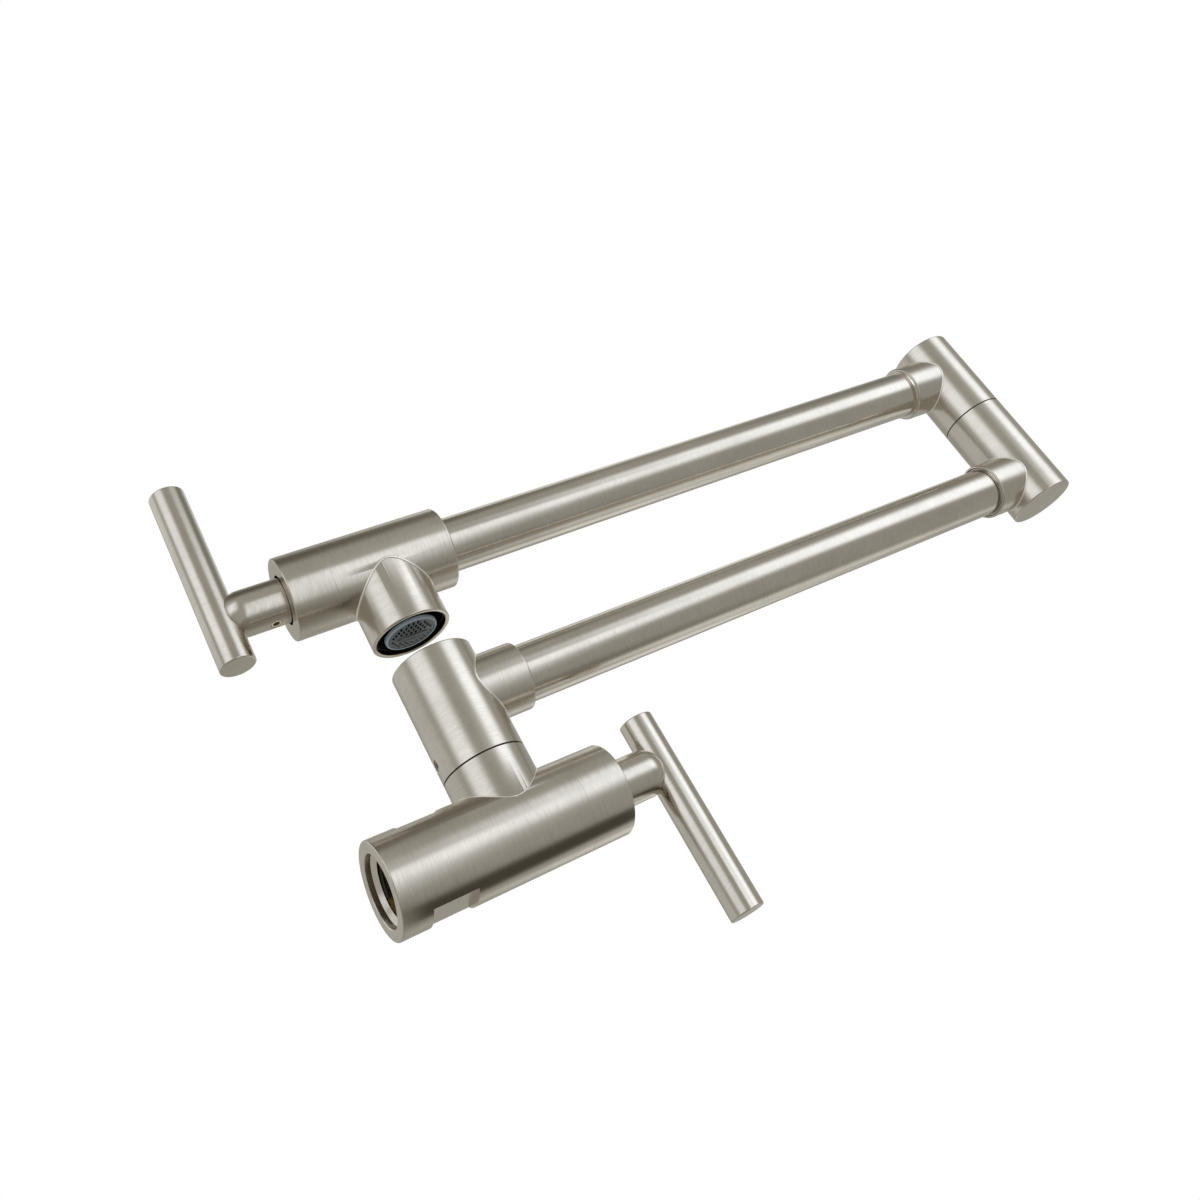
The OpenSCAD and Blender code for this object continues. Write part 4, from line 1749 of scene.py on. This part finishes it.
    def bar(self) -> None:
        """Makes the smooth bar across the screen, with a slit along it."""
        piece = self.plate("aerator_bar", self.bar_cells, self.bar_plate)
        bpy.ops.object.modifier_apply(modifier=piece.modifiers[-1].name)
        Bench.combine(piece, self.lens(self.bar_l, self.bar_w), "INTERSECT")
        Bench.cut(piece, self.lens(self.slit_l, self.slit_w))
        self.swell(piece, self.bar_lift)
        Bench.settle(piece, self.face())
        Bench.smooth(piece)
        Bench.dress(piece, MESH.make())
        Bench.hand_over(piece, "upper_arm", "aerator_mesh_steel")

    def build(self) -> None:
        """Makes the cup, the screen and its bar."""
        self.ring()
        self.screen()
        self.bar()


@dataclass
class Handle:
    """A round hub with a domed end and a bar through it."""

    name: str
    place: Matrix
    hub_d: float = 16.0
    hub_w: float = 30.0
    bar_w: float = 55.4
    bar_d: float = 12.0
    long_l: float = 54.0
    short_l: float = 18.0
    bar_edge: float = 0.45
    dome_step: int = 5
    hub_edge: float = 0.3
    seat_edge: float = 0.2
    stem_d: float = 8.0
    stem_w: float = 43.5
    screw_w: float = 39.1
    screw_d: float = 3.86
    screw_socket: float = 2.3
    screw_low: float = 0.28
    screw_end_l: float = 1.4
    screw_rim: float = 0.2
    screw_cup: float = 0.15
    screw_hole: ScrewHole = field(default_factory=ScrewHole)

    def screw_place(self) -> Matrix:
        """The set screw's axis, from the hub's axis outwards."""
        return tipped(shifted(self.place, z=self.screw_w), 90, "X")

    def hub(self) -> None:
        """Models and dresses the hub."""
        r, seat = self.hub_d / 2, self.bar_d / 2 + FIT
        dome = self.bar_w - r
        arc = [
            (r * math.cos(math.radians(a)), dome + r * math.sin(math.radians(a)))
            for a in range(0, 90, self.dome_step)
        ]
        outline = [
            *rounded([(0, self.hub_w), (r, self.hub_w), (r, dome - OVER)], {1: self.hub_edge}),
            *arc, (0, self.bar_w),
        ]
        piece = Bench.turn(self.name + "_hub_dressed", outline, self.place, HANDLE_STEPS)
        bar_place = tipped(shifted(self.place, z=self.bar_w), 90, "X")
        reach = self.hub_d + 4 * OVER
        Bench.cut(
            piece,
            Bench.turn("seat", [(0, -reach), (seat, -reach), (seat, reach), (0, reach)], bar_place),
        )
        middle = shifted(self.place, z=dome).to_translation()

        def on_seat_edge(at: Vector) -> bool:
            """Whether a point is where the bar's seat meets the dome."""
            on_dome = abs(math.dist(at, middle) * 1000 - r) < NEAR
            return on_dome and abs(radial(at, bar_place)[0] - seat) < 10 * WELD

        Bench.ease(
            piece, lambda a, b: on_seat_edge(a) and on_seat_edge(b), self.seat_edge, 2
        )
        stem = self.stem_d / 2 + FIT
        socket = [
            (0, self.hub_w - OVER), (stem, self.hub_w - OVER), (stem, self.stem_w), (0, self.stem_w),
        ]
        screw_place = self.screw_place()
        Bench.cut(
            piece,
            Bench.turn("socket", socket, self.place, SMALL_STEPS),
            self.screw_hole.tool(screw_place, r),
        )
        Bench.smooth(piece)
        Bench.dress(
            piece,
            BrushedNickel(self.name + "_hub_nickel", self.place, Satin.CAST).make(),
            self.screw_hole.finishes(screw_place, r),
        )
        Bench.hand_over(piece, self.name, "nickel_handle", self.name + "_hub")

    def screw_end(self) -> None:
        """Makes the cupped end of the set screw, coloured as a warm painted highlight, round its socket
        in painted shade.
        """
        place = self.screw_place()
        wide, socket = self.screw_d / 2, self.screw_socket / 2
        top = self.hub_d / 2 - self.screw_low
        foot, rim, cup = top - self.screw_end_l, self.screw_rim, self.screw_cup
        outline = [
            (socket, foot), (wide, foot), (wide, top - rim), (wide - rim, top),
            (socket + cup, top), (socket, top - cup), (socket, foot),
        ]
        turned = Bench.turn(self.name + "_screw_end", outline, place, SCREW_STEPS)
        piece = Bench.smooth(turned)
        Bench.dress(
            piece,
            WARM_HIGHLIT_EDGE.make(),
            [(SHADED_WELL.make(), lambda at, out: radial(at, place)[0] < socket + NEAR / 2)],
        )
        Bench.hand_over(piece, self.name, "screw_steel")

    def bar(self) -> None:
        """Models and dresses the bar."""
        r = self.bar_d / 2
        along = tipped(shifted(self.place, z=self.bar_w), -90, "X")
        outline = rounded(
            [(0, -self.short_l), (r, -self.short_l), (r, self.long_l), (0, self.long_l)],
            {1: self.bar_edge, 2: self.bar_edge},
        )
        turned = Bench.turn(self.name + "_bar_dressed", stepped(outline), along, HANDLE_STEPS)
        piece = Bench.smooth(turned)
        Bench.dress(piece, BrushedNickel(self.name + "_bar_nickel", along, Satin.HANDLE).make())
        Bench.hand_over(piece, self.name, "nickel_handle", self.name + "_bar")

    def build(self) -> None:
        """Makes the hub, the end of its set screw and the bar."""
        self.hub()
        self.screw_end()
        self.bar()


def dress_inside(record: dict, nodes: dict[str, bpy.types.Object]) -> None:
    """Gives the plain solids that stay their finishes, by the record's slots.

    Args:
        record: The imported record.
        nodes: The plain solids by name.
    """
    for entry in record["subparts"]:
        stuff = STUFF_BY_SLOT.get(entry["material_slot"])
        if stuff is None:
            continue
        if entry["node"] == "aerator_insert":
            stuff = INSERT_AND_SHADE
        for slot in nodes[entry["node"]].material_slots:
            slot.material = stuff.make()
    log.info("inside pieces dressed")


# The studio


@dataclass(frozen=True)
class SoftBox:
    """A soft light panel that the metal mirrors."""

    name: str
    azimuth: float
    elevation: float
    half_width: float
    half_height: float
    level: float
    blur: float
    tint: Colour


@dataclass
class Studio:
    """Floor, lamp, camera and what the metal mirrors."""

    boxes: tuple[SoftBox, ...] = (
        SoftBox("main box", -138, 13, 17.0, 18.4, 1.53, 10.5, (0.95, 1.0, 1.09)),
        SoftBox("low side box", -165, -18, 13, 31, 1.28, 5.0, (0.96, 1.0, 1.06)),
        SoftBox("back box", 128, 22, 21.4, 19.6, 1.16, 10.5, (0.97, 1.0, 1.06)),
        SoftBox("under box", -56, -45, 9, 15, 0.78, 8.0, (0.99, 1.0, 0.97)),
        SoftBox("far box", 50, 38.5, 26, 15, 0.78, 12.0, (1.0, 1.0, 0.99)),
        SoftBox("far low box", 50, 12, 32, 12, 0.58, 10.0, (1.0, 1.0, 0.99)),
        SoftBox("high side box", -49, 41, 9, 22, 0.84, 7.0, (0.99, 1.0, 0.97)),
        SoftBox("side box", -52.7, 10, 7, 15, 0.42, 11.0, (0.99, 1.0, 1.0)),
        SoftBox("low gap", -142, -37, 21, 26, 0.37, 11.0, (1.0, 0.99, 0.93)),
        SoftBox("low front box", -34, -27, 9, 11, 0.92, 8.0, (1.0, 1.0, 0.99)),
        SoftBox("high gap", -95, 42, 14, 14, 0.24, 9.0, (1.0, 0.97, 0.90)),
    )
    ambient: Colour = (0.400, 0.390, 0.358)
    zenith: Colour = (0.12, 0.105, 0.085)
    nadir: Colour = (0.235, 0.222, 0.195)
    matt_level: Colour = (0.80, 0.80, 0.80)
    backdrop: Colour = (1.0, 1.0, 1.0)
    high_from: float = 0.82
    low_from: float = -0.72
    low_full: float = -0.94
    floor_z: float = -400.0
    floor_y: float = -160.0
    floor_d: float = 1600.0
    card_at: tuple[float, float] = (-5.0, -52.0)
    card_size: tuple[float, float] = (15.0, 46.0)
    card_fade: float = 9.0
    card_z: float = -35.0
    card_colour: tuple[float, float, float, float] = (0.075, 0.066, 0.054, 1.0)
    lamp_at: tuple[float, float, float] = (-0.5, -0.55, 1.0)
    lamp_way: tuple[float, float, float] = (0.5, 0.4, -1.0)
    lamp_size: float = 0.9
    lamp_watts: float = 5.0
    camera_at: tuple[float, float, float] = (-0.33314, 0.08945, -0.09045)
    camera_turn: tuple[float, float, float] = (118.884, 29.738, -110.712)
    film_w: float = 36.0
    lens: float = 34.480
    lens_shift: tuple[float, float] = (-0.03278, -0.08106)
    sight: tuple[float, float] = (0.01, 20.0)

    def box_group(self) -> bpy.types.NodeTree:
        """A group that says how far a direction lies inside a soft box.

        Returns:
            The group, made at the first call.
        """
        name = "Soft box"
        if name in bpy.data.node_groups:
            return bpy.data.node_groups[name]
        group = Sockets(name)
        for socket in ("Direction", "Front", "Side", "Up"):
            group.takes(socket, "Vector")
        for socket in ("Half width", "Half height", "Blur"):
            group.takes(socket, "Float", 10.0)
        group.gives("Inside", "Float")
        wire = Wiring(group.tree)
        way = group.source.outputs["Direction"]
        front, side, up = (
            wire.vector("DOT_PRODUCT", way, group.source.outputs[key]).outputs["Value"]
            for key in ("Front", "Side", "Up")
        )
        across = wire.math("ABSOLUTE", wire.math("DEGREES", wire.math("ARCTAN2", side, front)))
        high = wire.math("ABSOLUTE", wire.math("DEGREES", wire.math("ARCSINE", up)))
        shares = []
        for angle, half in ((across, "Half width"), (high, "Half height")):
            edge = group.source.outputs[half]
            blur = group.source.outputs["Blur"]
            made = wire.node("ShaderNodeMapRange", clamp=True, interpolation_type="SMOOTHSTEP")
            wire.feed(made.inputs[0], angle)
            wire.feed(made.inputs[1], wire.math("SUBTRACT", edge, blur))
            wire.feed(made.inputs[2], wire.math("ADD", edge, blur))
            wire.feed(made.inputs[3], 1.0)
            wire.feed(made.inputs[4], 0.0)
            shares.append(made.outputs[0])
        wire.feed(group.sink.inputs["Inside"], wire.math("MULTIPLY", *shares))
        return group.tree

    def surround(self) -> None:
        """White to the camera, a plain level to matt surfaces, and to gloss the
        same white broken into soft boxes with dim gaps between them."""
        world = bpy.data.worlds.new("studio")
        bpy.context.scene.world = world
        world.use_nodes = True
        wire = Wiring(world.node_tree)
        for old in list(world.node_tree.nodes):
            world.node_tree.nodes.remove(old)
        way = wire.node("ShaderNodeTexCoord").outputs["Generated"]
        parts = wire.node("ShaderNodeSeparateXYZ")
        wire.feed(parts.inputs[0], way)
        height = parts.outputs[2]
        above = wire.spread(height, self.high_from, 1.0, 0, 1, smooth=True)
        below = wire.spread(height, self.low_from, self.low_full, 0, 1, smooth=True)
        colour = wire.mix(above, self.ambient, self.zenith)
        colour = wire.mix(below, colour, self.nadir)
        for box in self.boxes:
            inside = wire.node("ShaderNodeGroup", node_tree=self.box_group())
            inside.label = box.name
            facing = Matrix.Rotation(math.radians(box.azimuth), 3, "Z") @ Matrix.Rotation(
                math.radians(-box.elevation), 3, "Y"
            )
            wire.feed(inside.inputs["Direction"], way)
            inside.inputs["Front"].default_value = facing @ Vector((1, 0, 0))
            inside.inputs["Side"].default_value = facing @ Vector((0, 1, 0))
            inside.inputs["Up"].default_value = facing @ Vector((0, 0, 1))
            inside.inputs["Half width"].default_value = box.half_width
            inside.inputs["Half height"].default_value = box.half_height
            inside.inputs["Blur"].default_value = box.blur
            lit = tuple(box.level * share for share in box.tint)
            colour = wire.mix(inside.outputs["Inside"], colour, lit)
        path = wire.node("ShaderNodeLightPath")
        gloss = wire.math(
            "MAXIMUM", path.outputs["Is Glossy Ray"], path.outputs["Is Transmission Ray"]
        )
        seen = wire.mix(gloss, self.matt_level, colour)
        seen = wire.mix(path.outputs["Is Camera Ray"], seen, self.backdrop)
        back = wire.node("ShaderNodeBackground")
        wire.feed(back.inputs["Color"], seen)
        out = wire.node("ShaderNodeOutputWorld")
        wire.feed(out.inputs["Surface"], back.outputs[0])

    def floor(self) -> None:
        """A plain pale disc under the tap."""
        Bench.clear()
        bpy.ops.mesh.primitive_circle_add(
            vertices=SMALL_STEPS,
            radius=mm(self.floor_d / 2),
            fill_type="NGON",
            location=(0, mm(self.floor_y), mm(self.floor_z)),
        )
        disc = bpy.context.object
        disc.name = "floor"
        bpy.ops.object.transform_apply(location=True)
        disc.data.materials.append(FLOOR_PAINT.make())
        disc.visible_glossy = False
        disc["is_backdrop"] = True

    def card_paper(self) -> bpy.types.Material:
        """Dark paper on the card's upper face, that thins out to its edges.

        Returns:
            The material.
        """
        material = bpy.data.materials.new("card_paper")
        material.use_nodes = True
        wire = Wiring(material.node_tree)
        for old in list(material.node_tree.nodes):
            material.node_tree.nodes.remove(old)
        parts = wire.node("ShaderNodeSeparateXYZ")
        wire.feed(parts.inputs[0], wire.node("ShaderNodeTexCoord").outputs["Object"])
        thick = 1.0
        for share, middle, half in zip(parts.outputs[:2], self.card_at, self.card_size):
            off = wire.math("ABSOLUTE", wire.math("SUBTRACT", share, mm(middle)))
            solid = wire.spread(off, mm(half - self.card_fade), mm(half), 1, 0, smooth=True)
            thick = wire.math("MULTIPLY", solid, thick)
        back = wire.node("ShaderNodeNewGeometry").outputs["Backfacing"]
        thick = wire.math("MULTIPLY", thick, wire.math("SUBTRACT", 1.0, back))
        dark = wire.node("ShaderNodeEmission")
        dark.inputs["Color"].default_value = self.card_colour
        clear = wire.node("ShaderNodeBsdfTransparent")
        both = wire.node("ShaderNodeMixShader")
        wire.feed(both.inputs[0], thick)
        wire.feed(both.inputs[1], clear.outputs[0])
        wire.feed(both.inputs[2], dark.outputs[0])
        out = wire.node("ShaderNodeOutputMaterial")
        wire.feed(out.inputs["Surface"], both.outputs[0])
        return material

    def card(self) -> None:
        """A strip of dark card under the wall valve, that only the metal sees."""
        Bench.clear()
        bpy.ops.mesh.primitive_plane_add(size=1)
        card = bpy.context.object
        card.name = "dark_card"
        card.dimensions = (mm(2 * self.card_size[0]), mm(2 * self.card_size[1]), 0)
        card.location = (mm(self.card_at[0]), mm(self.card_at[1]), mm(self.card_z))
        bpy.ops.object.transform_apply(location=True, scale=True)
        card.data.materials.append(self.card_paper())
        card.visible_camera = card.visible_diffuse = False
        card.visible_shadow = card.visible_transmission = False
        card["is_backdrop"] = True

    def lamp(self) -> None:
        """One large soft lamp from above, that casts the floor's shadow."""
        light = bpy.data.lights.new("soft_lamp", "AREA")
        light.shape = "DISK"
        light.size = self.lamp_size
        light.energy = self.lamp_watts
        lamp = bpy.data.objects.new("soft_lamp", light)
        bpy.context.scene.collection.objects.link(lamp)
        aim = Vector(self.lamp_way).to_track_quat("-Z", "Y").to_matrix().to_4x4()
        lamp.matrix_world = Matrix.Translation(self.lamp_at) @ aim
        lamp.visible_glossy = False

    def camera(self) -> None:
        """The photograph's view."""
        data = bpy.data.cameras.new("camera")
        data.sensor_width = self.film_w
        data.lens = self.lens
        data.shift_x, data.shift_y = self.lens_shift
        data.clip_start, data.clip_end = self.sight
        camera = bpy.data.objects.new("camera", data)
        bpy.context.scene.collection.objects.link(camera)
        camera.location = self.camera_at
        camera.rotation_euler = tuple(math.radians(angle) for angle in self.camera_turn)
        bpy.context.scene.camera = camera

    def build(self) -> None:
        """Sets up the whole studio."""
        bpy.context.scene.view_settings.view_transform = "Standard"
        self.surround()
        self.floor()
        self.card()
        self.lamp()
        self.camera()


def write_sizes() -> None:
    """Gathers the plain solids' box and the dressed tap's box as plain lists; nothing is written."""

    def plain(value: object) -> object:
        """The value as plain lists of numbers."""
        if isinstance(value, (list, tuple, Vector)):
            return [plain(v) for v in value]
        return float(value)

    {"cad": plain(CAD_BOX), "visual": plain(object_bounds())}


def main() -> None:
    """Builds the tap piece by piece, then the studio."""
    logging.basicConfig(level=logging.INFO, format="%(message)s")
    layout = Layout()
    lower, upper = layout.lower_arm(), layout.upper_arm()
    dress_inside(frame["record"], frame["nodes"])
    WallValve(layout).build()
    InletThread(layout.valve()).build()
    Bonnet("wall_bonnet", "wall_valve", layout.wall_core(), layout.wall_bonnet_d).build()
    ArmTee("base_tee", "lower_arm", shifted(lower, z=layout.base_tee_z)).build()
    ArmTube(
        "lower_tube",
        "lower_arm",
        shifted(lower, z=layout.lower_z),
        layout.tube_from,
        layout.arm_l - layout.tube_from,
    ).build()
    ElbowFoot(
        layout.elbow(),
        layout.lower_z - layout.elbow_drop,
        layout.lower_z,
        layout.elbow_tee_z - layout.washer_t,
    ).build()
    ArmTee("elbow_tee", "upper_arm", shifted(upper, z=layout.elbow_tee_z)).build()
    ArmTube(
        "upper_tube",
        "upper_arm",
        shifted(upper, z=layout.upper_z),
        layout.tube_from,
        layout.arm_l - layout.tube_short,
    ).build()
    Outlet(layout).build()
    Aerator(layout.spout()).build()
    Bonnet("outlet_bonnet", "upper_arm", layout.outlet_core(), layout.outlet_bonnet_d).build()
    Handle("wall_handle", layout.wall_handle()).build()
    Handle("outlet_handle", layout.outlet_core()).build()
    Studio().build()
    write_sizes()


if __name__ == "__main__":
    main()
